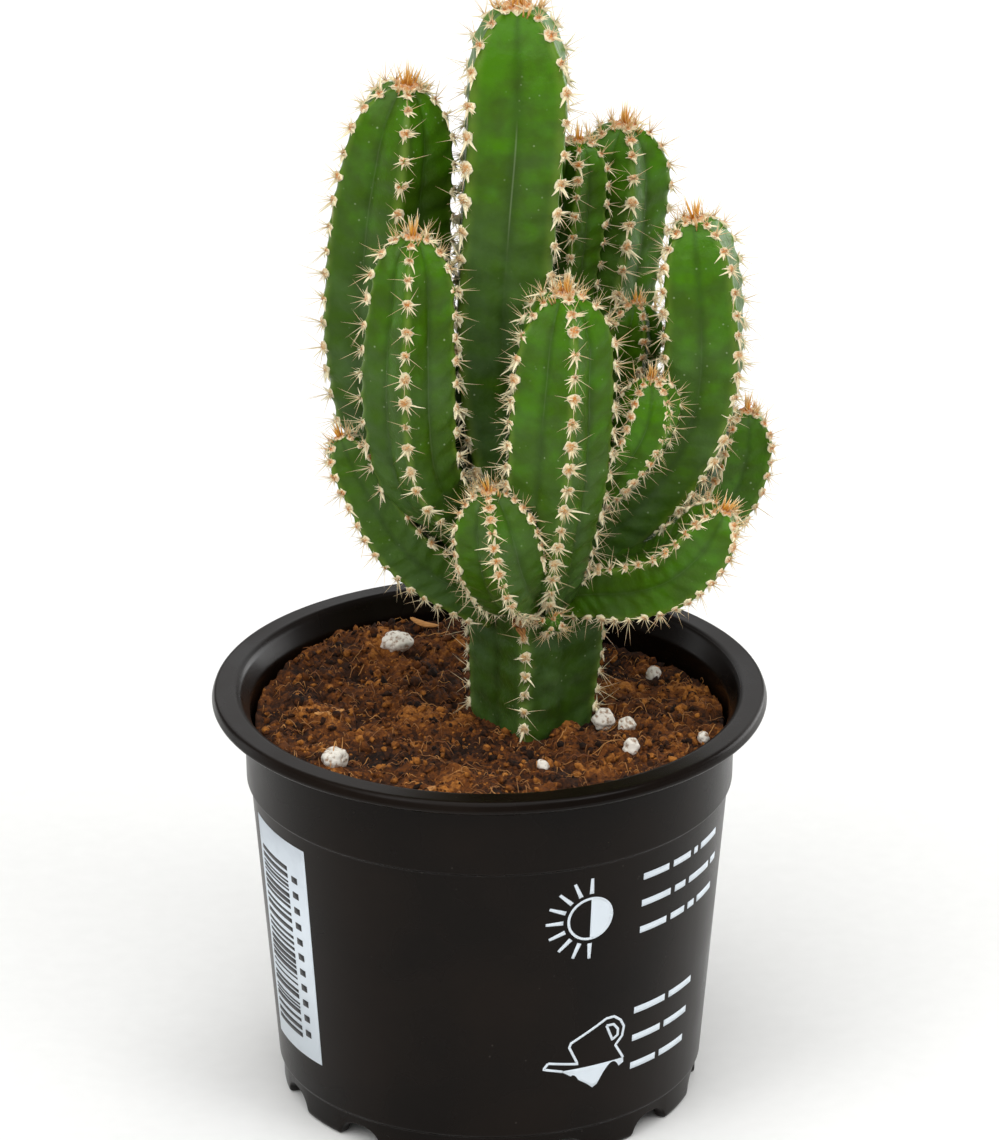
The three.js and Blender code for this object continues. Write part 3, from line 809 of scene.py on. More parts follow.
@dataclass
class Areoles:
    """The areoles of one stem: each one's point, the unit vectors out and up the rib, its distance down the
    crest from the crown, its length along the centre line from the foot, and its rib."""

    point: np.ndarray
    out: np.ndarray
    up: np.ndarray
    from_crown: np.ndarray
    along: np.ndarray
    rib: np.ndarray

    @property
    def side(self) -> np.ndarray:
        """The unit vector across the rib."""
        return np.cross(self.up, self.out)

    @property
    def youth(self) -> np.ndarray:
        """1 on the crown, falling to 0 some 20 mm below it."""
        return np.exp(-((self.from_crown / 7.5) ** 1.4))

    @property
    def tender(self) -> np.ndarray:
        """How orange the felt's heart still is: 1 on the crown, all but gone some 70 mm below it."""
        return np.exp(-((self.from_crown / 38) ** 1.6))

    @property
    def worn(self) -> np.ndarray:
        """How far each has shed."""
        return shed(self.from_crown)

    def flat(self, pick: np.ndarray, turn: np.ndarray) -> np.ndarray:
        """Unit vectors that lie flat on the rib at picked areoles, turned from its side to up the rib."""
        return turned(self.side[pick], self.up[pick], turn)


@dataclass
class CactusStem:
    """A stem with all that grows on it: the skin, the felt of its areoles and its spines."""

    stem: Stem
    neighbours: list[Stem]
    soil_level: float
    seed: int
    scars: tuple[tuple[float, float, float, float], ...] = ()  # x, y, z and size of each
    husks: tuple[tuple[float, float, float], ...] = ()  # places of clusters of dry scales
    crowded: float = 0.58  # the spacing of new areoles as a share of the grown ones'
    grown_mm: float = 13.0  # distance from the crown by which the spacing is the grown one
    closed_up: float = 0.35  # share by which the oldest areoles stand closer again
    crest_steps: int = 1200  # steps by which a crest is measured
    swelling: float = 0.7  # how far the rib swells under an areole
    swelling_mm: float = 1.25  # how far along the rib that swelling reaches
    buried_margin: float = -0.4
    ageing_mm: float = 78.0  # distance from the crown by which the skin is old
    soft_mm: tuple[float, float] = (8.0, 2.6)  # sizes of the skin's unevenness
    stretched_mm: float = 17.0  # size of the patches where the skin has stretched
    hairs: int = 18
    flaps_each: int = 5
    flap_mm: tuple[float, ...] = (1.5, 2.0, 2.6, 3.4)
    flap_odds: tuple[float, ...] = (0.3, 0.35, 0.25, 0.1)
    radials: int = 6
    radial_mm: tuple[float, float] = (2.4, 6.0)
    fan: tuple[float, float] = (-215.0, 250.0)  # degrees: where the radials start and how far they go round
    centrals: int = 2
    central_mm: tuple[float, float] = (2.8, 5.8)
    spine_half_mm: tuple[float, float] = (0.06, 0.092)
    scales: int = 9  # in each cluster
    scale_mm: tuple[float, float] = (1.6, 3.2)

    def __post_init__(self) -> None:
        """Seeds the stem's own random draws and places its areoles."""
        self.rng = np.random.default_rng(self.seed)
        self.spots = self.place_areoles()

    def place_areoles(self) -> Areoles:
        """Walks down each crest from the crown, by steps that widen with age, and drops buried places."""
        stem, rng = self.stem, self.rng
        along = np.linspace(0, stem.length, self.crest_steps)
        found = []
        for rib in range(stem.ribs):
            crest = stem.point(along, np.full_like(along, rib * TURN / stem.ribs))
            down = np.r_[0, np.cumsum(np.linalg.norm(np.diff(crest[::-1], axis=0), axis=1))][::-1]
            far = 1.9 + rng.uniform(0, 1.6)
            while far < down[0] - 1:
                found.append((rib, far, np.interp(-far, -down, along)))
                grown = self.crowded + (1 - self.crowded) * float(smooth(far / self.grown_mm))
                worn = 1 - self.closed_up * float(shed(far))
                far += stem.spacing * grown * worn * rng.uniform(0.9, 1.1)
        rib, far, place = np.array(found).T
        angle = rib * TURN / stem.ribs
        point = stem.point(place, angle)
        step, swing = 0.2, 0.02
        above = stem.point(np.minimum(place + step, stem.length - 0.01), angle)
        up = unit(above - stem.point(np.maximum(place - step, 0), angle))
        across = stem.point(place, angle + swing) - stem.point(place, angle - swing)
        out = unit(np.cross(across, up))
        open_air = point[:, 2] > self.soil_level + 0.5
        for other in self.neighbours:
            open_air &= ~other.holds(point + 0.6 * out, self.buried_margin)
        spots = Areoles(point, out, up, far, place, rib)
        kept = {name: getattr(spots, name)[open_air] for name in spots.__dataclass_fields__}
        return Areoles(**kept)

    def skin(self) -> Skin:
        """The ribbed skin.

        Rings stand at even steps up to the dome and at the sines of even angles in it. Each is pushed out by
        a bell-shaped swelling under every areole, by low waves that run from the areoles down to the grooves,
        and by soft noise.
        """
        stem = self.stem
        body = stem.length - stem.dome
        rows = np.linspace(0, body, int(body / stem.ROW_MM))
        arch = np.sin(np.linspace(0, 0.97, stem.DOME_ROWS + 1)[1:] * math.pi / 2)
        along = np.r_[rows, body + stem.dome * arch][:, None]
        places = stem.ribs * stem.PLACES_PER_RIB
        angle = ring_angles(places)[None]
        off = stem.off_crest(angle)
        closeness = 1 - off * stem.ribs / math.pi
        rib = np.round(angle * stem.ribs / TURN).astype(int) % stem.ribs
        swell = np.zeros((len(along), stem.ribs))
        for index in range(stem.ribs):
            here = self.spots.along[self.spots.rib == index]
            swell[:, index] = np.exp(-(((along - here) / self.swelling_mm) ** 2)).sum(axis=1)
        swell = np.clip(swell, 0, 1)[:, rib[0]]
        wave = 0.24 * np.cos(TURN * (along + 2.2 * (1 - closeness)) / stem.spacing)
        low = wave * closeness * (1 - closeness) * 4
        along, angle = np.broadcast_arrays(along, angle)
        flat = stem.point(along, angle)
        broad, fine = (value_noise(flat, size, self.seed + i) - 0.5 for i, size in enumerate(self.soft_mm))
        soft = 0.5 * broad + 0.16 * fine
        ease = np.clip((stem.length - along) / (0.6 * stem.dome), 0, 1)
        on_crest = np.exp(-((off * stem.centre(along)[1] / 1.3) ** 2))
        lift = (self.swelling * (swell - 0.35) * on_crest + low + soft) * ease
        far = stem.length - along
        share = np.clip(far / self.ageing_mm, 0, 1)
        young, old = stem.age
        patches = smooth((value_noise(flat, self.stretched_mm, self.seed + 2) - 0.42) * 5)
        marks = {
            "age": young + (old - young) * share,
            "rib": closeness,
            "scar": self.scar(flat),
            "stretch": stem.stretched * patches * smooth((far - 5) / 6) * smooth((60 - far) / 25),
        }
        spread = {name: value[None] for name, value in marks.items()}
        return Skin.from_rings(stem.point(along, angle, lift), spread)

    def scar(self, points: np.ndarray) -> np.ndarray:
        """How corky the skin is: a bell round each scar's middle."""
        total = np.zeros(points.shape[:-1])
        for x, y, z, size in self.scars:
            total += np.exp(-(np.linalg.norm(points - np.array([x, y, z]), axis=-1) / size) ** 2)
        return total

    def felt(self) -> Skin:
        """Areole felt: a low pad on each place, with short hairs and pointed flaps, and the crown's cap."""
        spots, rng = self.spots, self.rng
        count = len(spots.point)
        size = (0.85 + 0.4 * rng.uniform(size=count)) * (1 - 0.2 * spots.youth) * (1 - 0.15 * spots.worn)
        size = size * self.stem_scale()
        axes = np.stack([spots.side, spots.up, spots.out], axis=-1)
        half = np.stack([1.1 * size, 1.0 * size, 0.5 * size], axis=-1) * rng.uniform(0.8, 1.2, (count, 3))
        centre = spots.point + 0.1 * spots.out
        pads = lumps(centre, half, axes, 0.3, {"youth": spots.tender}, rng, rows=5, around=9)
        pads.marks["heart"] = smooth((pads.marks.pop("top") - 0.5) * 3)
        return Skin.joined([pads, self.tufts(size), self.flaps(size), self.crown_felt()])

    def stem_scale(self) -> float:
        """Areoles on the slim stems are smaller: by the fourth root of the radius over 11 mm."""
        return (self.stem.last_radius / 11) ** 0.25

    def raggedness(self) -> float:
        """The share of its flaps and spines that an areole has: 1 on stout stems, less on slim ones."""
        return min(1.0, self.stem.last_radius / 8.5) ** 2

    def tufts(self, size: np.ndarray) -> Skin:
        """Short flat hairs that stand out round each pad, all ways and by any tilt."""
        spots, rng = self.spots, self.rng
        pick = np.repeat(np.arange(len(size)), self.hairs)
        turn = rng.uniform(0, TURN, len(pick))
        tilt = rng.uniform(0.5, 1.5, len(pick))
        flat = spots.flat(pick, turn)
        way = unit(flat * np.sin(tilt)[:, None] + spots.out[pick] * np.cos(tilt)[:, None])
        base = spots.point[pick] + flat * (0.45 * size[pick])[:, None] + 0.2 * spots.out[pick]
        length = (0.6 + 1.1 * rng.uniform(size=len(pick)) ** 2) * size[pick]
        marks = {"youth": spots.tender[pick], "heart": np.clip(rng.normal(0.0, 0.2, len(pick)), 0, 1)}
        bend = rng.normal(0, 0.22, (len(pick), 3)) + [0, 0, -0.15]
        return needles(base, way, length, 0.2 * size[pick], bend, marks, rows=3, around=3, flatness=0.5)

    def flaps(self, size: np.ndarray) -> Skin:
        """Pointed flaps of felt round each pad, like small claws: most spread to the sides and down, and curl
        back to the rib."""
        spots, rng = self.spots, self.rng
        every = np.repeat(np.arange(len(size)), self.flaps_each)
        share = 0.85 * self.raggedness() * (1 - 0.35 * spots.youth) * (1 - 0.9 * spots.worn)
        pick = every[rng.uniform(size=len(every)) < share[every]]
        turn = rng.normal(-math.pi / 2, 1.15, len(pick))
        flat = spots.flat(pick, turn)
        way = unit(flat + spots.out[pick] * rng.uniform(0.15, 0.9, len(pick))[:, None])
        length = rng.choice(self.flap_mm, len(pick), p=self.flap_odds) * size[pick]
        marks = {"youth": spots.tender[pick], "heart": np.clip(rng.normal(-0.05, 0.12, len(pick)), 0, 1)}
        bend = rng.normal(0, 0.22, (len(pick), 3))
        bend = bend - 0.45 * spots.out[pick] * rng.uniform(0, 1, len(pick))[:, None]
        base = spots.point[pick] + 0.3 * spots.out[pick] + flat * (0.45 * size[pick])[:, None]
        return needles(base, way, length, 0.38 * size[pick], bend, marks, rows=5, around=6, flatness=0.45)

    def crown(self) -> tuple[np.ndarray, np.ndarray, np.ndarray, np.ndarray]:
        """The crown's place and its unit vectors along, to the front and to the side."""
        end = np.array([self.stem.length - 0.05])  # just short of it, where the line still has a direction
        tangent, front, side = self.stem.axes(end)
        return self.stem.centre(np.array([self.stem.length]))[0][0], tangent[0], front[0], side[0]

    def crown_felt(self) -> Skin:
        """The felt cap on the crown: a ring of small pads round one in the middle."""
        rng = self.rng
        top, tangent, front, side = self.crown()
        wide = 0.17 * self.stem.last_radius
        count = 8
        turn = np.arange(count) * TURN / (count - 1)
        out = np.where(np.arange(count) < count - 1, wide, 0.0)
        centre = top + turned(front, side, turn) * out[:, None] - 0.1 * wide * tangent
        half = 0.5 * wide * rng.uniform(0.8, 1.25, (count, 3))
        frames = np.tile(np.stack([front, side, tangent], axis=-1), (count, 1, 1))
        pads = lumps(centre, half, frames, 0.25, {"youth": np.full(count, 0.8)}, rng, rows=6, around=10)
        pads.marks["heart"] = smooth((pads.marks.pop("top") - 0.35) * 2)
        return pads

    def spines(self) -> Skin:
        """Spines: from each areole a fan of radials, open only at the top, and up to two centrals that stand
        out from it, and the crown's brush and rays. Young ones lean up the rib; old areoles lack many."""
        spots, rng = self.spots, self.rng
        per_spot = self.radials + self.centrals
        pick = np.repeat(np.arange(len(spots.point)), per_spot)
        order = np.tile(np.arange(per_spot), len(spots.point))
        youth = spots.youth[pick]
        central = order >= self.radials
        start, over = np.radians(self.fan)
        fan = start + order / (self.radials - 1) * over
        turn = np.where(central, rng.uniform(0, TURN, len(pick)), fan) + rng.normal(0, 0.25, len(pick))
        tilt = np.where(central, rng.uniform(0.1, 0.6, len(pick)), rng.normal(0.88, 0.22, len(pick)))
        tilt = tilt * (1 - 0.45 * youth)
        way = spots.flat(pick, turn) * np.sin(tilt)[:, None] + spots.out[pick] * np.cos(tilt)[:, None]
        way = unit(way + spots.up[pick] * (0.5 * youth)[:, None])
        ahead, aside = rng.uniform(*self.central_mm, len(pick)), rng.uniform(*self.radial_mm, len(pick))
        length = np.where(central, ahead, aside) * self.stem_scale() * (1 - 0.2 * youth)
        keep = rng.uniform(size=len(pick)) > 0.12 + 0.6 * spots.worn[pick] + 0.5 * (1 - self.raggedness())
        pick, way, length, youth = pick[keep], way[keep], length[keep], youth[keep]
        bend = rng.normal(0, 0.14, (len(pick), 3))
        base = spots.point[pick] + 0.3 * spots.out[pick]
        tone = np.clip(0.6 * youth + rng.normal(0.04, 0.1, len(pick)), 0, 1)
        grown = needles(base, way, length, rng.uniform(*self.spine_half_mm, len(pick)), bend, {"youth": tone})
        return Skin.joined([grown, self.crown_brush(), self.crown_rays()])

    def crown_brush(self) -> Skin:
        """The brush of young amber spines on the crown: a stiff tuft in the middle, whose spines fan out a
        little from one foot, and a few small clumps that lean away round it."""
        rng = self.rng
        top, tangent, front, side = self.crown()
        radius = self.stem.last_radius
        middle, round_it, each = 8 + int(0.5 * radius), 1 + int(radius / 4), 4
        clump = np.r_[np.zeros(middle, int), np.repeat(np.arange(1, round_it + 1), each)]
        start, even = rng.uniform(0, TURN), np.arange(round_it + 1) * TURN / round_it
        out = turned(front, side, start + even + rng.normal(0, 0.25, round_it + 1))
        in_middle = clump == 0
        far = np.where(in_middle, 0.0, rng.uniform(0.3, 0.42, round_it + 1)[clump] * radius)
        foot = rng.normal(0, 0.042 * radius, (len(clump), 3))
        base = top + out[clump] * far[:, None] + foot - (0.3 + 0.14 * far)[:, None] * tangent
        lean = out[clump] * np.where(in_middle, 0.0, 0.45)[:, None] + 2.2 * foot / radius
        way = unit(tangent + lean + rng.normal(0, 0.11, (len(clump), 3)))
        length = np.where(in_middle, 1.0, 0.48) * (2.5 + 0.34 * radius) * rng.uniform(0.65, 1.12, len(clump))
        tone = np.clip(np.where(in_middle, 0.97, 0.6) + rng.normal(0, 0.08, len(clump)), 0, 1)
        thick = rng.uniform(0.2, 0.32, len(clump)) * (0.55 + 0.04 * radius) * np.where(in_middle, 1.0, 0.7)
        bend = rng.normal(0, 0.15, (len(clump), 3))
        return needles(base, way, length, thick, bend, {"youth": tone})

    def crown_rays(self) -> Skin:
        """Long thin pale spines that spread widely round the brush."""
        rng = self.rng
        top, tangent, front, side = self.crown()
        radius = self.stem.last_radius
        count = int(3 + 0.45 * radius)
        out = turned(front, side, rng.uniform(0, TURN, count))
        base = top + out * (0.26 * radius * rng.uniform(0.6, 1.1, count))[:, None] - 0.25 * tangent
        way = unit(tangent + out * rng.uniform(0.3, 1.5, count)[:, None])
        length = (1.8 + 0.3 * radius) * rng.uniform(0.7, 1.15, count)
        tone = np.clip(rng.normal(0.3, 0.2, count), 0, 1)
        thick, bend = rng.uniform(0.09, 0.13, count), rng.normal(0, 0.15, (count, 3))
        return needles(base, way, length, thick, bend, {"youth": tone})

    def dry_husks(self) -> Skin:
        """Small curled red-brown scales, left where old growth has dried on the trunk."""
        rng = self.rng
        middle = np.repeat(np.array(self.husks, float), self.scales, axis=0)
        base = middle + rng.normal(0, 1.0, middle.shape) * [0.5, 0.3, 1.3]
        way = unit(rng.normal(0, 0.6, middle.shape) + [0.2, -0.7, -0.9])
        shade = {"shade": rng.uniform(0.0, 0.4, len(middle))}
        bend = rng.normal(0, 0.5, middle.shape)
        length, wide = rng.uniform(*self.scale_mm, len(middle)), np.full(len(middle), 0.42)
        return needles(base, way, length, wide, bend, shade, rows=5, around=6, flatness=0.35)

    def build(self, finishes: Finishes) -> None:
        """Makes the stem's three pieces, and its dry husks if it has any."""
        name = self.stem.name
        if self.husks:
            self.dry_husks().piece(f"husks_{name}", finishes.bark, Slot.BARK)
        self.skin().piece(f"skin_{name}", finishes.skin, Slot.PLANT, name)
        if len(self.spots.point):
            self.felt().piece(f"felt_{name}", finishes.wool, Slot.FELT)
            self.spines().piece(f"spines_{name}", finishes.spine, Slot.SPINE)


# The stems: the trunk with the main stem, then its branches.
STEMS = (
    Stem("main_stem", 4, (-8, -45), (
        (8.7, 0, 59, 10.6), (8.1, 0, 77.1, 11.8), (8.6, 0, 93, 12.8), (7.6, 0, 106.9, 13.6),
        (5.6, 0.5, 120.7, 12.9), (3.1, 1, 139.3, 12.2), (2.6, 2, 158.3, 11.8), (3.6, 3, 175.4, 12),
        (5.1, 4.5, 195.8, 12.6), (5.2, 6, 215.8, 11.8),
    ), age=(0.02, 0.85), stretched=0.38, spacing=5.8),
    Stem("stem_left_tall", 5, (0, 6), (
        (-0.9, 1.5, 110.8, 7.5), (-10.8, 6, 121.8, 9.5), (-16.5, 9, 131.7, 11), (-19.1, 10, 145.5, 12.2),
        (-19.3, 10, 159.1, 12.3), (-18.6, 9, 173.5, 11.8), (-17, 8, 187.4, 10.6), (-15.3, 7, 199.8, 9.2),
    ), age=(0.22, 0.85)),
    Stem("stem_right_tall", 4, (-40, -50), (
        (12.1, 1, 102.9, 8), (17.6, 1, 109.8, 8), (24.5, 1, 116.7, 8.2), (30.9, 0, 124.3, 8.5),
        (36.1, 0, 132.4, 8.9), (39.3, 0, 142.6, 9.4), (40, 0, 153.3, 9.5), (39.4, 0, 164.5, 9.1),
        (38.1, 0, 176, 7.9),
    ), age=(0.15, 0.8), spacing=4.3),
    Stem("stem_right_back", 5, (8, 14), (
        (8.1, 6, 122.8, 6.6), (14.1, 13, 135.8, 8.4), (20.1, 19, 149.7, 9.6), (22.4, 22, 160.6, 9.8),
        (24.2, 23, 173.3, 9.5), (25.3, 23, 185.9, 8.4),
    ), age=(0.2, 0.8), spacing=4.5),
    Stem("stem_back", 5, (0, 0), (
        (6.1, 5, 126.7, 5), (11.6, 12, 142.6, 5.6), (14.5, 14.5, 160.3, 6), (16, 14.5, 174.8, 6.1),
        (16.7, 14, 186.3, 5.5),
    ), age=(0.3, 0.8), spacing=4.0),
    Stem("stem_centre_front", 5, (10, 14), (
        (9.6, -4, 101.8, 7), (10.5, -12.5, 116.4, 8.7), (12, -16.5, 132, 10), (12.7, -17, 145, 10.3),
        (13.5, -17, 157.1, 9.6), (14, -17, 168.1, 8.2),
    ), age=(0.15, 0.8), spacing=4.5),
    Stem("stem_left_front", 5, (-6, -6), (
        (2.1, -3, 111.7, 5.4), (-7.8, -8.5, 121.9, 6.5), (-12.7, -12, 130.6, 8.1), (-14.4, -13, 142.7, 9),
        (-14.5, -13, 155.8, 8.9), (-14.1, -13, 167.3, 8.2), (-14, -13, 177.8, 7),
    ), age=(0.2, 0.9), spacing=4.9),
    Stem("stem_right_low", 4, (-45, -45), (
        (13.1, -2, 102.5, 5.6), (20.5, -4, 104.2, 6.8), (27, -7, 106, 7.5), (33.4, -9, 109, 7.6),
        (39, -11, 114.5, 7.1), (43.9, -12, 122.3, 6.1),
    ), age=(0.2, 0.75), spacing=3.0),
    Stem("stem_right_outer", 4, (-35, -35), (
        (16.1, 4, 99, 5), (25.6, 6.5, 102.1, 5.6), (33.7, 9.5, 105.6, 6.4), (40.2, 11, 110.6, 6.6),
        (45.3, 11.5, 117.5, 6.6), (47.8, 11, 125.4, 6.2), (48.4, 11, 132.8, 5.6),
    ), age=(0.2, 0.8), spacing=3.2),
    Stem("stem_front_short", 5, (4, -2), (
        (6.6, -6, 104, 5), (4.4, -13.5, 108, 6.8), (2.6, -18.5, 114.5, 8), (1.2, -20.5, 122.1, 8),
        (-0.1, -21, 130.2, 6.7),
    ), age=(0.35, 0.8), spacing=3.0),
    Stem("stem_left_low", 4, (-40, -36), (
        (1.1, -2, 99.9, 6.6), (-10.8, -6, 108.4, 6.6), (-18.2, -8.5, 116.4, 6.3), (-22.6, -9.5, 124.8, 5.9),
        (-25.7, -9.5, 130.9, 5.3), (-27.8, -9, 136, 4.7),
    ), age=(0.4, 0.9), spacing=3.6),
    Stem("stem_right_inner", 5, (20, 20), (
        (14.1, 3, 120.7, 4.4), (21.5, 6.5, 129.7, 5), (25.2, 7.5, 139.5, 5.4), (26.9, 7.5, 148.8, 5.4),
        (27.6, 7.5, 156.3, 4.8),
    ), age=(0.3, 0.8), spacing=3.2),
    Stem("stem_pup", 5, (36, 36), (
        (17, -4, 119.6, 3.6), (23.4, -9, 129.2, 4.7), (27.7, -11.5, 136.9, 5.7), (29.7, -12, 142.9, 5.7),
        (30.2, -12, 149, 4.9),
    ), age=(0.1, 0.6), spacing=2.9),
    Stem("bud_front", 5, (0, 0), (
        (10.6, -8, 97.8, 1.7), (11.5, -13.5, 100.2, 2.1), (12, -15.8, 102, 2),
    ), age=(0.3, 0.5), spacing=2.0),
)

# Corky scars low on the clump, each with its place and size, and the places of the dry scales beside two.
SCARS = ((5.0, -13.5, 100.0, 2.6), (21.5, -3.0, 99.0, 2.6), (-1.5, -8.0, 107.0, 2.2), (9.0, -12.6, 90.0, 1.6))
HUSKS = ((5.6, -14.3, 100.2), (21.6, -3.2, 99.6))


# ------------------------------------------------------------------ soil and what lies on it


@dataclass
class Soil:
    """Coir and peat soil: a crumbly top on a body that fills the pot, with loose crumbs and fibres on it."""

    level: float = 74.9  # round the trunk
    swell: float = 2.3
    radius: float = 44.3
    foot_radius: float = 38.1
    foot: float = 6.9
    shoulder: float = 63.3
    rings: int = 96
    around: int = 420
    chunk_mm: float = 3.4
    crumb_mm: float = 1.4
    crumbs: int = 3200
    crumb_seed: int = 41
    fibres: int = 900
    fibre_steps: int = 9
    fibre_seed: int = 42

    def height(self, x: np.ndarray, y: np.ndarray) -> np.ndarray:
        """The lie of the soil: two bell-shaped swells, up at the back left and down at the back right, and
        two low waves."""
        bank = self.swell * np.exp(-(((x + 24) / 20) ** 2) - ((y - 30) / 18) ** 2)
        hollow = -self.swell * np.exp(-(((x - 30) / 15) ** 2) - ((y - 26) / 17) ** 2)
        wide, narrow = 0.35 * np.sin(x / 5.1 + 0.6) * np.cos(y / 4.3), 0.25 * np.sin((x + y) / 3.2)
        return self.level + bank + hollow + wide + narrow

    def relief(self, x: np.ndarray, y: np.ndarray) -> np.ndarray:
        """Crumbs of two sizes over soft noise of two sizes, as a height over the lie of the soil."""
        at = np.stack([x, y], axis=-1)
        drift = np.stack([value_noise(at, 2.0, 21), value_noise(at, 2.0, 22)], axis=-1) * 1.6
        chunks = 1.1 * crumb_noise(at + drift, self.chunk_mm, 3) ** 0.8
        chunks = chunks + 0.9 * crumb_noise(at + drift, self.crumb_mm, 4)
        return chunks - 1.0 + 2.2 * (value_noise(at, 5.0, 5) - 0.5) + 0.6 * (value_noise(at, 0.7, 6) - 0.5)

    def top(self, x: np.ndarray, y: np.ndarray) -> np.ndarray:
        """The surface with its crumbs, eased down at the wall."""
        edge = smooth((np.hypot(x, y) / self.radius - 0.9) * 10)
        return self.height(x, y) + self.relief(x, y) - 0.8 * edge

    def body(self) -> Skin:
        """Turned rings: out over the pot's floor, up its wall, and in over the top, a height field."""
        angle = ring_angles(self.around)[None]
        radii = np.r_[0.5, self.foot_radius, self.radius - 0.6, self.radius]
        heights = np.r_[self.foot, self.foot, self.shoulder, self.level - 4]
        over = self.radius * np.linspace(1, 0.004, self.rings)
        r = np.r_[radii, over][:, None]
        x, y = r * np.cos(angle), r * np.sin(angle)
        z = np.vstack([heights[:, None] + 0 * angle, self.top(x[len(radii):], y[len(radii):])])
        # The tone follows a random noise, which is the soil's own, and also the relief: painted shade makes
        # the hollows between crumbs darker and the crumb tops lighter.
        shade = 0.55 * value_noise(np.stack([x, y], axis=-1), 7.0, 9) - 0.05 + 0.16 * self.relief(x, y)
        return Skin.from_rings(np.stack([x, y, z], axis=-1), {"shade": shade[None]})

    def spread(self, count: int, rng: np.random.Generator, keep_off: Stem) -> tuple[np.ndarray, np.ndarray]:
        """Random places on the soil, evenly by area, off the trunk."""
        far, turn = (self.radius - 1) * np.sqrt(rng.uniform(size=count)), rng.uniform(0, TURN, count)
        x, y = far * np.cos(turn), far * np.sin(turn)
        clear = ~keep_off.holds(np.stack([x, y, np.full(count, self.level + 2)], axis=-1), 0.3)
        return x[clear], y[clear]

    def loose_crumbs(self, trunk: Stem) -> Skin:
        """Loose crumbs, many small and few large, partly sunk in the surface."""
        rng = np.random.default_rng(self.crumb_seed)
        x, y = self.spread(self.crumbs, rng, trunk)
        size = 0.2 + 0.95 * rng.uniform(size=len(x)) ** 5
        size = np.minimum(size, self.radius + 0.2 - np.hypot(x, y))
        half = size[:, None] * rng.uniform([0.7, 0.6, 0.45], [1.5, 1.1, 0.9], (len(x), 3))
        centre = np.stack([x, y, self.top(x, y) + 0.25 * size], axis=-1)
        shade = rng.uniform(-0.1, 0.75, len(x))
        return lumps(centre, half, any_turns(len(x), rng), 0.3, {"shade": shade}, rng)

    def loose_fibres(self, trunk: Stem) -> Skin:
        """Coir fibres: gently curved threads that follow the surface, with their middles a little over it."""
        rng = np.random.default_rng(self.fibre_seed)
        x, y = self.spread(self.fibres, rng, trunk)
        t = np.linspace(0, 1, self.fibre_steps)
        length = 1.4 + 7 * rng.uniform(size=len(x)) ** 4
        way = rng.uniform(0, TURN, len(x))[:, None] + rng.normal(0, 0.6, len(x))[:, None] * t
        step = (length / self.fibre_steps)[:, None]
        px = x[:, None] + np.cumsum(np.cos(way), axis=1) * step
        py = y[:, None] + np.cumsum(np.sin(way), axis=1) * step
        far = np.hypot(px, py)
        held = np.minimum(1, (self.radius + 0.3) / far)
        px, py = px * held, py * held
        hump = rng.uniform(0.1, 1.0, len(x))[:, None] * np.sin(t * math.pi)
        paths = np.stack([px, py, self.top(px, py) + 0.12 + hump], axis=-1)
        return threads(paths, rng.uniform(0.05, 0.13, len(x)), {"shade": rng.uniform(-0.2, 0.6, len(x))})

    def build(self, finishes: Finishes, trunk: Stem) -> None:
        """Makes the soil's pieces."""
        self.body().piece("soil_body", finishes.soil, Slot.SOIL, "soil")
        self.loose_crumbs(trunk).piece("soil_crumbs", finishes.soil, Slot.SOIL)
        self.loose_fibres(trunk).piece("soil_fibres", finishes.bark, Slot.SOIL)


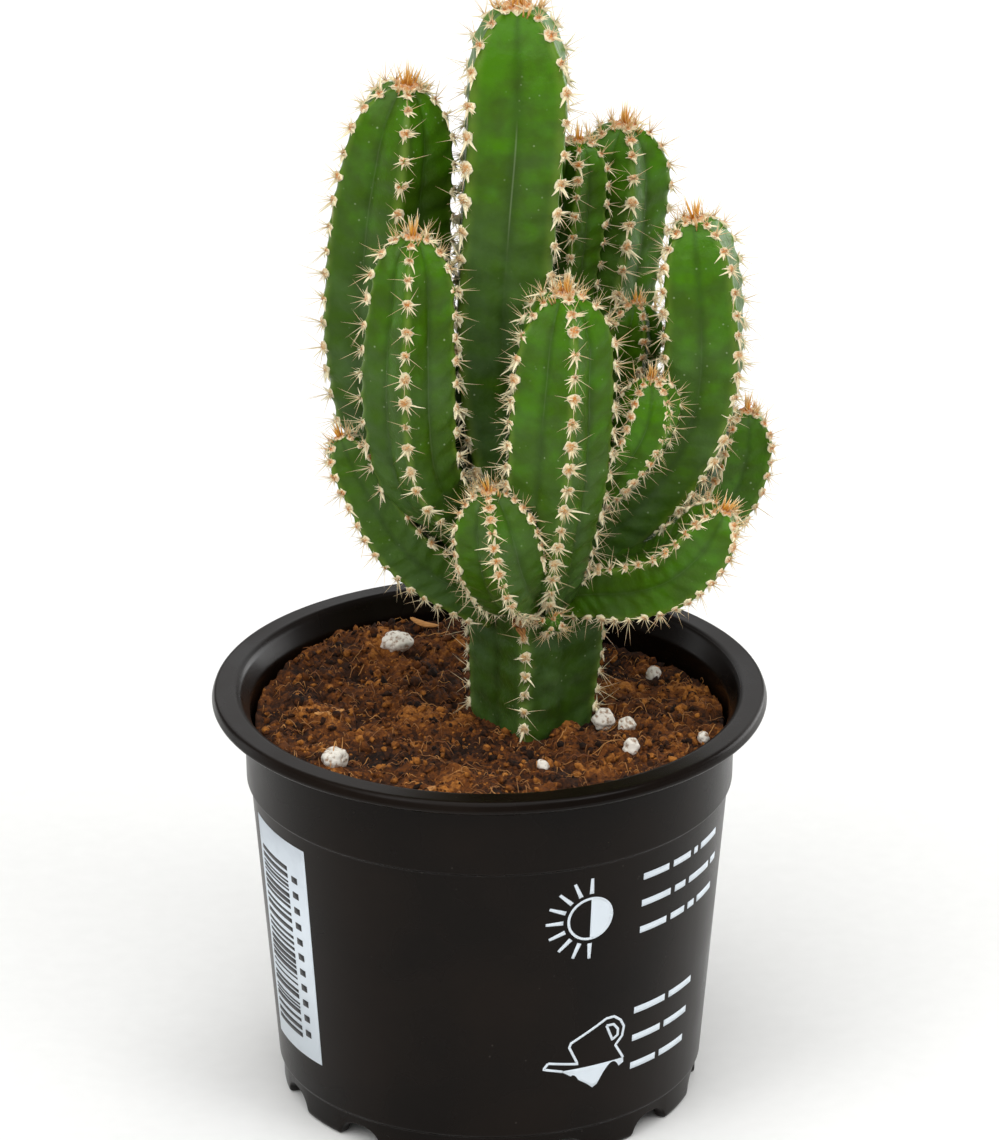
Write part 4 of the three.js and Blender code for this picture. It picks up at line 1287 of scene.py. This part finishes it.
@dataclass
class Litter:
    """Perlite grains and bark flakes on the soil, each in the place of its CAD node."""

    soil: Soil
    grains: int = 8
    grain_seed: int = 60
    flakes: int = 3
    flake_seed: int = 80
    diagonals: tuple[int, ...] = (-1, 1, 1)  # the one that each flake lies along: 1 runs to the back right
    sink: float = 0.9  # how far a grain is bedded in the loose crumbs

    def node_box(self, node: str) -> tuple[np.ndarray, np.ndarray]:
        """The middle and the half-sizes of a CAD node's box, in millimetres."""
        low, high = (np.array(corner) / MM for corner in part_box(node))
        return (low + high) / 2, (high - low) / 2

    def grain(self, index: int) -> Skin:
        """A grain: a ball pushed in and out by soft noise of two sizes, and made longer downwards."""
        rng = np.random.default_rng(self.grain_seed + index)
        centre, half = self.node_box(f"perlite_{index}")
        half = half + [0, 0, self.sink / 2]
        centre = centre - [0, 0, self.sink / 2]
        rows, around = 26, 36
        latitude = np.linspace(-0.49, 0.49, rows)[:, None] * math.pi
        shape = ball(latitude, ring_angles(around))
        seed = int(rng.integers(1000))
        push = 0.66 + 0.5 * value_noise(shape + 5, 0.75, seed) + 0.22 * value_noise(shape + 5, 0.3, seed + 1)
        return Skin.from_rings(centre + shape * push[..., None] * half)

    def flake(self, index: int) -> Skin:
        """A flake: a flat oval section along its box's diagonal, narrowed to both ends and ragged."""
        rng = np.random.default_rng(self.flake_seed + index)
        centre, half = self.node_box(f"bark_{index}")
        along, around = np.linspace(-1, 1, 22)[:, None], 14
        angle = ring_angles(around)[None]
        ragged = value_noise(np.stack(np.broadcast_arrays(along * 4 + 9, angle), -1), 0.6, index) - 0.5
        narrow = np.sqrt(1 - 0.96 * along**2) * (1 + 0.3 * ragged)
        wide = max(0.45 * min(half[:2]), 0.9)
        turn = math.atan2(half[1], half[0]) * self.diagonals[index - 1]
        length = math.hypot(*half[:2]) * 0.95
        u, v = np.array([math.cos(turn), math.sin(turn), 0]), np.array([-math.sin(turn), math.cos(turn), 0])
        curl = 0.5 * along**2
        points = centre + u * (length * along)[..., None] + v * (wide * narrow * np.cos(angle))[..., None]
        points[..., 2] += -0.3 + curl + 0.55 * half[2] * narrow * np.sin(angle)
        shade = np.full((1, 1, 1), rng.uniform(0.35, 0.6))
        return Skin.from_rings(points, {"shade": shade}).facing_out()

    def root_thread(self) -> Skin:
        """One thin pale root that lies over the front left grain."""
        knots = np.array([(-27.6, -11.8), (-27.8, -16.0), (-28.3, -20.0), (-28.9, -24.2), (-29.8, -27.5)])
        course = along_curve(knots, np.linspace(0, len(knots) - 1, 24))
        over = 3.4 * np.exp(-(((course[:, 1] + 23.8) / 2.6) ** 2))
        z = self.soil.top(course[:, 0], course[:, 1]) + 0.3 + over
        path, shade = np.column_stack([course, z]), {"shade": np.array([0.95])}
        return threads(path[None], np.array([0.14]), shade, around=5)

    def build(self, finishes: Finishes) -> None:
        """Makes the grains, the flakes and the root."""
        for i in range(1, self.grains + 1):
            self.grain(i).piece(f"perlite_grain_{i}", finishes.perlite, Slot.PERLITE, f"perlite_{i}")
        for i in range(1, self.flakes + 1):
            self.flake(i).piece(f"bark_flake_{i}", finishes.bark, Slot.BARK, f"bark_{i}")
        self.root_thread().piece("root_thread", finishes.bark, Slot.BARK)


# ------------------------------------------------------------------ pot


def rounded(corners: list[tuple[float, float, float]], steps: int = 5) -> np.ndarray:
    """A closed outline with its corners rounded.

    Each corner becomes an even arc, as a quadratic curve from one fillet's length before it to one after, and
    a support point stands just past each end of the arc, so that the flats stay flat when shaded.

    Args:
        corners: radius, height and fillet length of each corner.
        steps: points along each arc.
    Returns:
        Points as (radius, height).
    """
    found = []
    count = len(corners)
    for i, (r, z, fillet) in enumerate(corners):
        here = np.array([r, z])
        before, after = (np.array(corners[j % count][:2]) - here for j in (i - 1, i + 1))
        reach = [min(fillet, 0.42 * np.linalg.norm(v)) for v in (before, after)]
        a, b = here + unit(before) * reach[0], here + unit(after) * reach[1]
        t = np.linspace(0, 1, steps)[:, None]
        arc = (1 - t) ** 2 * a + 2 * t * (1 - t) * here + t**2 * b
        support = min(0.25, 0.08 * min(np.linalg.norm(before), np.linalg.norm(after)))
        found += [a + unit(before) * support, *arc, b + unit(after) * support]
    return np.array(found)


@dataclass
class Pot:
    """Round nursery pot of thin plastic: feet, tapered wall, step line, plain band and a wide flat rim."""

    height: float = 81.0
    rim_radius: float = 52.5
    mouth_radius: float = 47.3
    rim_thickness: float = 2.9
    collar_radius: float = 46.4
    ridge: float = 63.3
    ridge_step: float = 1.1  # how far the wall stands in under the collar
    ledge: float = 6.0
    ledge_radius: float = 40.2
    wall: float = 1.1
    foot_radius: float = 39.3
    foot_ring: float = 2.4
    feet: int = 12
    arch_height: float = 3.5
    arch_width: float = 10.0
    first_arch: float = 201.0  # degrees from +X
    floor_under: float = 5.2
    floor_top: float = 6.4
    hole_radius: float = 2.6
    hole_circle: float = 29.0
    holes: int = 8
    around: int = 600

    def wall_radius(self, z: np.ndarray | float) -> np.ndarray | float:
        """The outside of the tapered wall: straight from the ledge to just under the step line."""
        top = self.collar_radius - self.ridge_step
        return self.ledge_radius + (top - self.ledge_radius) * (z - self.ledge) / (self.ridge - self.ledge)

    def outline(self) -> np.ndarray:
        """The ring's section, anticlockwise from the inner bottom of the foot."""
        under, inner = self.height - self.rim_thickness, self.foot_radius - self.foot_ring
        collar, wall = self.collar_radius, self.wall
        corners = [
            (inner, 0, 0.7), (self.foot_radius, 0, 0.9), (self.foot_radius + 0.2, self.ledge - 0.6, 0.25),
            (self.ledge_radius, self.ledge, 0.35),
            (self.wall_radius(self.ridge - 0.6), self.ridge - 0.6, 0.25),
            (collar - 0.35, self.ridge, 0.25), (collar, under - 0.9, 0.6), (collar + 0.9, under, 0.4),
            (self.rim_radius - 1.0, under - 0.1, 0.5), (self.rim_radius + 0.1, under + 0.8, 0.5),
            (self.rim_radius - 0.5, self.height - 0.2, 0.7), (self.mouth_radius + 0.7, self.height, 0.5),
            (self.mouth_radius - 0.2, self.height - 0.7, 0.5), (collar - wall, under - 1.2, 0.5),
            (collar - 0.4 - wall, self.ridge + 0.2, 0.3),
            (self.wall_radius(self.ridge) - wall, self.ridge - 0.8, 0.3),
            (self.ledge_radius - wall, self.floor_top, 0.8), (inner - 1.5, self.floor_top, 0.2),
            (inner - 1.5, self.floor_under, 0.2), (inner, self.floor_under, 0.2),
        ]
        return rounded(corners)

    def shell(self) -> Skin:
        """The section turned round the axis, with the foot's lower part raised over half-oval arches."""
        section = self.outline()
        section = np.vstack([section, section[:1]])
        angle = ring_angles(self.around)
        middles = math.radians(self.first_arch) + ring_angles(self.feet)
        away = np.abs((angle[:, None] - middles + math.pi) % TURN - math.pi).min(axis=1) * self.foot_radius
        arch = self.arch_height * np.clip(1 - (2 * away / self.arch_width) ** 2.6, 0, 1) ** 0.7
        r, z = section[:, 0][:, None], section[:, 1][:, None]
        raised = np.where(z < self.floor_under, z + arch * (1 - z / self.floor_under), z)
        points = np.stack([r * np.cos(angle), r * np.sin(angle), raised + 0 * angle], axis=-1)
        return self.loop(points)

    def loop(self, points: np.ndarray) -> Skin:
        """A ring surface closed both ways, whose last row repeats its first."""
        rows, around, _ = points.shape
        row, place = np.arange(rows - 1)[:, None], np.arange(around)[None]
        after, above = (place + 1) % around, (row + 1) % (rows - 1)
        corners = (row * around + place, row * around + after, above * around + after, above * around + place)
        quads = np.stack(corners, axis=-1).reshape(-1, 4)
        return Skin(points[:-1].reshape(-1, 3), quads, np.zeros((0, 3), int)).facing_out()

    def floor_plate(self) -> Skin:
        """The floor, set into the wall's ring: a disc less a round plug for each drain hole."""
        outer = self.foot_radius - self.foot_ring + 0.6
        plate = self.disc(outer, self.floor_under + 0.01, self.floor_top - 0.01, (0.0, 0.0), 160)
        plugs = []
        for turn in ring_angles(self.holes):
            at = (self.hole_circle * math.cos(turn), self.hole_circle * math.sin(turn))
            plugs.append(self.disc(self.hole_radius, self.floor_under - 2, self.floor_top + 2, at, 36))
        return cut(plate, Skin.joined(plugs))

    @staticmethod
    def disc(radius: float, low: float, high: float, at: tuple[float, float], around: int) -> Skin:
        """A closed upright cylinder."""
        angle = ring_angles(around)
        circle = np.stack([at[0] + radius * np.cos(angle), at[1] + radius * np.sin(angle)], axis=-1)
        rings = np.stack([np.column_stack([circle, np.full(around, z)]) for z in (low, high)])
        return Skin.from_rings(rings)

    def build(self, finishes: Finishes) -> None:
        """Makes the pot as one piece."""
        Skin.joined([self.shell(), self.floor_plate()]).piece("pot_shell", finishes.plastic, Slot.POT, "pot")


def cut(body: Skin, tools: Skin) -> Skin:
    """What is left of a skin when others are cut out of it."""
    held = []
    for name, skin in (("cut_body", body), ("cut_tools", tools)):
        mesh = bpy.data.meshes.new(name)
        faces = [*map(tuple, skin.quads.tolist()), *map(tuple, skin.tris.tolist())]
        mesh.from_pydata(skin.points.tolist(), [], faces)
        held.append(put(name, mesh))
    change = held[0].modifiers.new("cut", "BOOLEAN")
    change.operation, change.object, change.solver = "DIFFERENCE", held[1], "EXACT"
    shaped = held[0].evaluated_get(bpy.context.evaluated_depsgraph_get()).to_mesh()
    shaped.calc_loop_triangles()
    points = np.zeros(len(shaped.vertices) * 3)
    shaped.vertices.foreach_get("co", points)
    tris = np.zeros(len(shaped.loop_triangles) * 3, int)
    shaped.loop_triangles.foreach_get("vertices", tris)
    for thing in held:
        bpy.data.objects.remove(thing)
    return Skin(points.reshape(-1, 3), np.zeros((0, 4), int), tris.reshape(-1, 3))


# ------------------------------------------------------------------ print on the pot


@dataclass
class Print:
    """Flat shapes printed on the tapered wall.

    A shape is drawn on the wall unrolled: s runs to the right of the front line and z up, both in mm.
    """

    pot: Pot
    reference: float = 42.5  # radius at which s is true
    film: float = 0.07  # how far one film stands proud
    embed: float = 0.15  # how far it reaches into the wall
    step: float = 0.8  # between the points of a rectangle

    def on_wall(self, s: np.ndarray, z: np.ndarray, lift: float) -> np.ndarray:
        """The place on the wall or off it: the angle from the front is s over the reference radius."""
        angle = s / self.reference
        r = self.pot.wall_radius(z) + lift
        return np.stack([r * np.sin(angle), -r * np.cos(angle), z + 0 * r], axis=-1)

    def patch(self, a: np.ndarray, b: np.ndarray, layer: int = 1, across: int = 3) -> Skin:
        """A film between two edges: straight across from each point of one to its partner on the other.

        Args:
            a: one edge, as rows of s and z.
            b: the other edge, with as many rows.
            layer: how many films thick it stands.
            across: points across it.
        Returns:
            The film as a closed skin.
        """
        t = np.linspace(0, 1, across)[None, :, None]
        face = a[:, None] * (1 - t) + b[:, None] * t
        over = self.on_wall(face[..., 0], face[..., 1], self.film * layer)
        under = self.on_wall(face[:, ::-1, 0], face[:, ::-1, 1], -self.embed)
        return Skin.from_rings(np.concatenate([over, under], axis=1)).facing_out()

    def stroke(self, path: np.ndarray, width: np.ndarray | float, layer: int = 1, steps: int = 10) -> Skin:
        """A line of some width along a path: the path's straight runs, offset to both sides.

        Args:
            path: corners as rows of s and z.
            width: one width, or one for each corner.
            layer: how many films thick it stands.
            steps: points along each run.
        Returns:
            The line as a closed skin.
        """
        path = np.asarray(path, float)
        t = np.linspace(0, len(path) - 1, (len(path) - 1) * steps + 1)
        course = np.stack([np.interp(t, np.arange(len(path)), path[:, k]) for k in (0, 1)], axis=-1)
        half = np.interp(t, np.arange(len(path)), np.broadcast_to(width, len(path)))[:, None] / 2
        way = unit(np.gradient(course, axis=0))
        side = np.stack([-way[:, 1], way[:, 0]], axis=-1)
        return self.patch(course + side * half, course - side * half, layer)

    def box(self, left: float, right: float, low: float, high: float, layer: int = 1) -> Skin:
        """A rectangle, split across so that it follows the wall."""
        s = np.linspace(left, right, max(3, int((right - left) / self.step)))
        upper, lower = (np.column_stack([s, np.full_like(s, z)]) for z in (high, low))
        return self.patch(upper, lower, layer)


@dataclass
class CarePrint(Print):
    """The care pictograms: a half-filled sun and a tilted watering can, each with three rows of dashes."""

    sun: tuple[float, float] = (18.8, 51.5)
    sun_radius: float = 4.3
    line: float = 0.5
    rows_left: float = 29.8
    dash_width: float = 1.35
    dash_gap: float = 1.3

    def sun_shape(self) -> list[Skin]:
        """A ring, its right half filled, and nine rays round its left half."""
        s0, z0 = self.sun

        def arc(start: float, end: float, points: int) -> np.ndarray:
            """Part of the sun's edge, as rows of s and z."""
            turn = np.linspace(start, end, points)
            return np.column_stack([s0 + self.sun_radius * np.cos(turn), z0 + self.sun_radius * np.sin(turn)])

        half = arc(-math.pi / 2, math.pi / 2, 31)
        chord = np.column_stack([np.full(len(half), s0), half[:, 1]])
        shapes = [self.stroke(arc(0, TURN, 61), self.line, steps=1), self.patch(half, chord, across=6)]
        for ray in np.radians(np.linspace(90, 270, 9)):
            way = np.array([math.cos(ray), math.sin(ray)])
            ends = [np.array(self.sun) + way * self.sun_radius * k for k in (1.24, 2.0)]
            shapes.append(self.stroke(ends, (0.85, 0.55), steps=4))
        return shapes

    def can_shape(self) -> list[Skin]:
        """A can tipped to pour to the left: its outline, its handle's eye and the water in it."""
        body = np.array([
            (11.4, 21.3), (17.5, 20.2), (15.6, 24.1), (15.9, 25.0), (23.3, 28.8), (25.0, 28.8), (26.6, 27.6),
            (27.5, 26.0), (27.2, 24.0), (25.7, 22.4), (27.8, 19.1),
        ])
        spout = np.array([(11.4, 21.3), (10.5, 20.1), (14.4, 19.1)])
        eye = np.array([(23.4, 27.2), (25.0, 27.1), (26.1, 25.8), (26.1, 24.5), (24.9, 23.8), (23.4, 27.2)])
        water_top = np.array([(14.2, 19.2), (18.6, 19.2), (23.0, 19.2), (27.8, 19.1)])
        water_low = np.array([(14.4, 18.9), (19.6, 15.5), (20.9, 14.4), (27.9, 18.1)])
        lines = [self.stroke(path, self.line) for path in (body, spout, eye)]
        return [*lines, self.patch(water_top, water_low, across=6)]

    def dash_rows(self, top: float, pitch: float, lengths: tuple[tuple[float, ...], ...]) -> list[Skin]:
        """Rows of dashes of uneven lengths that stand for lines of small print."""
        shapes = []
        for row, dashes in enumerate(lengths):
            s, z = self.rows_left, top - row * pitch
            for dash in dashes:
                shapes.append(self.stroke([(s, z), (s + dash, z)], self.dash_width, steps=8))
                s += dash + self.dash_gap
        return shapes

    def build(self, finishes: Finishes) -> None:
        """Makes the print as one piece."""
        upper = self.dash_rows(57.4, 5.7, ((6.4, 5.2, 1.2, 7.0), (7.4, 3.2, 7.8, 2.6), (6.8, 4.2, 2.2, 6.6)))
        lower = self.dash_rows(28.6, 6.0, ((8.4, 8.2), (7.6, 8.0), (6.8, 8.4)))
        skin = Skin.joined([*self.sun_shape(), *self.can_shape(), *upper, *lower])
        skin.piece("care_print", finishes.light_ink, Slot.INK)


@dataclass
class PanelPrint(Print):
    """The pale panel at the left, with uneven dark bars and one column of short dashes."""

    left: float = -56.4
    right: float = -37.6
    low: float = 13.9
    high: float = 59.8
    bars_left: float = -54.6
    bars_right: float = -43.6
    bars_low: float = 17.6
    bars_high: float = 53.6
    bar_widths: tuple[float, ...] = (0.35, 0.6, 0.9)
    gap_widths: tuple[float, ...] = (0.4, 0.65, 0.95)
    dashes: int = 11
    dash_left: float = -42.2
    dash_right: float = -40.4
    dash_height: float = 1.3
    seed: int = 7

    def build(self, finishes: Finishes) -> None:
        """Makes the panel and the dark marks on it."""
        panel = self.box(self.left, self.right, self.low, self.high)
        panel.piece("panel_print", finishes.light_ink, Slot.INK)
        rng = np.random.default_rng(self.seed)
        marks, z = [], self.bars_low
        while z < self.bars_high:
            width = rng.choice(self.bar_widths)
            marks.append(self.box(self.bars_left, self.bars_right, z, z + width, layer=2))
            z += width + rng.choice(self.gap_widths)
        for z in np.linspace(self.bars_low + 1, self.bars_high - 2, self.dashes):
            marks.append(self.box(self.dash_left, self.dash_right, z, z + self.dash_height, layer=2))
        Skin.joined(marks).piece("panel_marks", finishes.dark_ink, Slot.INK)


# ------------------------------------------------------------------ studio


@dataclass
class Studio:
    """Pale floor, soft lights and the camera, far off and some 24 degrees above the horizon."""

    aim: tuple[float, float, float] = (2.0, 0.0, 105.0)
    distance: float = 2000.0
    elevation: float = 23.75
    lens: float = 335.7
    floor_radius: float = 6000.0
    floor_points: int = 96
    floor_gap: float = 0.1  # under the feet
    box_distance: float = 1200.0
    box_aim: float = 110.0  # height that the soft boxes face
    boxes: tuple[tuple[str, float, float, tuple[float, float], float], ...] = (
        ("front left", -42, 40, (0.35, 0.5), 3.0),
        ("front right", 50, 42, (0.45, 0.55), 4.6),
        ("top", 0, 86, (0.8, 0.8), 1.2),
        ("back", 180, 27, (1.4, 0.5), 1.2),
        ("left strip", -112, 8, (0.25, 0.9), 2.0),
        ("right strip", 128, 10, (0.9, 0.6), 4.5),
    )  # as softbox takes them

    def camera(self) -> None:
        """Sets the camera."""
        data = bpy.data.cameras.new("camera")
        data.lens, data.sensor_width = self.lens, 36.0
        data.clip_start, data.clip_end = 0.05, 30.0
        made = put("camera", data)
        tip = math.radians(self.elevation)
        back = np.array([0, -math.cos(tip), math.sin(tip)]) * self.distance
        made.location = tuple((np.array(self.aim) + back) * MM)
        made.rotation_euler = (math.radians(90 - self.elevation), 0, 0)
        bpy.context.scene.camera = made

    def floor(self) -> None:
        """A wide paper disc just under the feet."""
        angle = ring_angles(self.floor_points)
        circle = np.column_stack([np.cos(angle), np.sin(angle)]) * self.floor_radius
        mesh = bpy.data.meshes.new("floor")
        points = [(x * MM, y * MM, -self.floor_gap * MM) for x, y in circle]
        mesh.from_pydata(points, [], [tuple(range(self.floor_points))])
        mesh.materials.append(STUDIO_PAPER.build())
        put("floor", mesh)

    def sun(self, azimuth: float, elevation: float, spread: float, strength: float) -> None:
        """The key light: even and soft, from far off.

        Args:
            azimuth: degrees from the front, positive to the right.
            elevation: degrees over the horizon.
            spread: its width in degrees, as the plant sees it.
            strength: watts for each square metre.
        """
        data = bpy.data.lights.new("key", "SUN")
        data.energy, data.angle = strength, math.radians(spread)
        put("key", data).rotation_euler = (math.radians(90 - elevation), 0, math.radians(azimuth))

    def softbox(
        self, name: str, azimuth: float, elevation: float, size: tuple[float, float], glow: float
    ) -> None:
        """A soft box that faces the plant's middle.

        Args:
            name: the light's name.
            azimuth: degrees from the front, positive to the right.
            elevation: degrees over the horizon.
            size: width and height in metres.
            glow: how bright its face is, in watts for each square metre and steradian.
        """
        data = bpy.data.lights.new(name, "AREA")
        data.shape, data.size, data.size_y = "RECTANGLE", *size
        data.energy = glow * math.pi * size[0] * size[1]
        made = put(name, data)
        made.visible_camera = False
        a, e = math.radians(azimuth), math.radians(elevation)
        way = np.array([math.sin(a) * math.cos(e), -math.cos(a) * math.cos(e), math.sin(e)])
        made.location = tuple((way * self.box_distance + np.array([0, 0, self.box_aim])) * MM)
        made.rotation_euler = (math.radians(90 - elevation), 0, a)

    def build(self) -> None:
        """Makes the camera, the floor, the lights and the white surroundings."""
        self.camera()
        self.floor()
        self.sun(azimuth=-22, elevation=55, spread=75, strength=1.9)
        for name, azimuth, elevation, size, glow in self.boxes:
            self.softbox(name, azimuth, elevation, size, glow)
        world = bpy.data.worlds.new("white surroundings")
        world.use_nodes = True
        surroundings = world.node_tree.nodes["Background"].inputs
        surroundings["Color"].default_value = colour("#ffffff")
        surroundings["Strength"].default_value = 0.2
        bpy.context.scene.world = world
        bpy.context.scene.view_settings.view_transform = "Standard"


def main() -> None:
    """Builds everything in order."""
    logging.basicConfig(level=logging.INFO, format="%(message)s")
    Studio().build()
    finishes = Finishes()
    pot, soil, trunk = Pot(), Soil(), STEMS[0]
    pot.build(finishes)
    CarePrint(pot).build(finishes)
    PanelPrint(pot).build(finishes)
    soil.build(finishes, trunk)
    Litter(soil).build(finishes)
    for i, stem in enumerate(STEMS):
        others = [other for other in STEMS if other is not stem]
        husks = HUSKS if stem is trunk else ()
        grown = CactusStem(stem, others, soil.level, FIRST_STEM_SEED + i, SCARS, husks)
        grown.build(finishes)


if __name__ == "__main__":
    main()
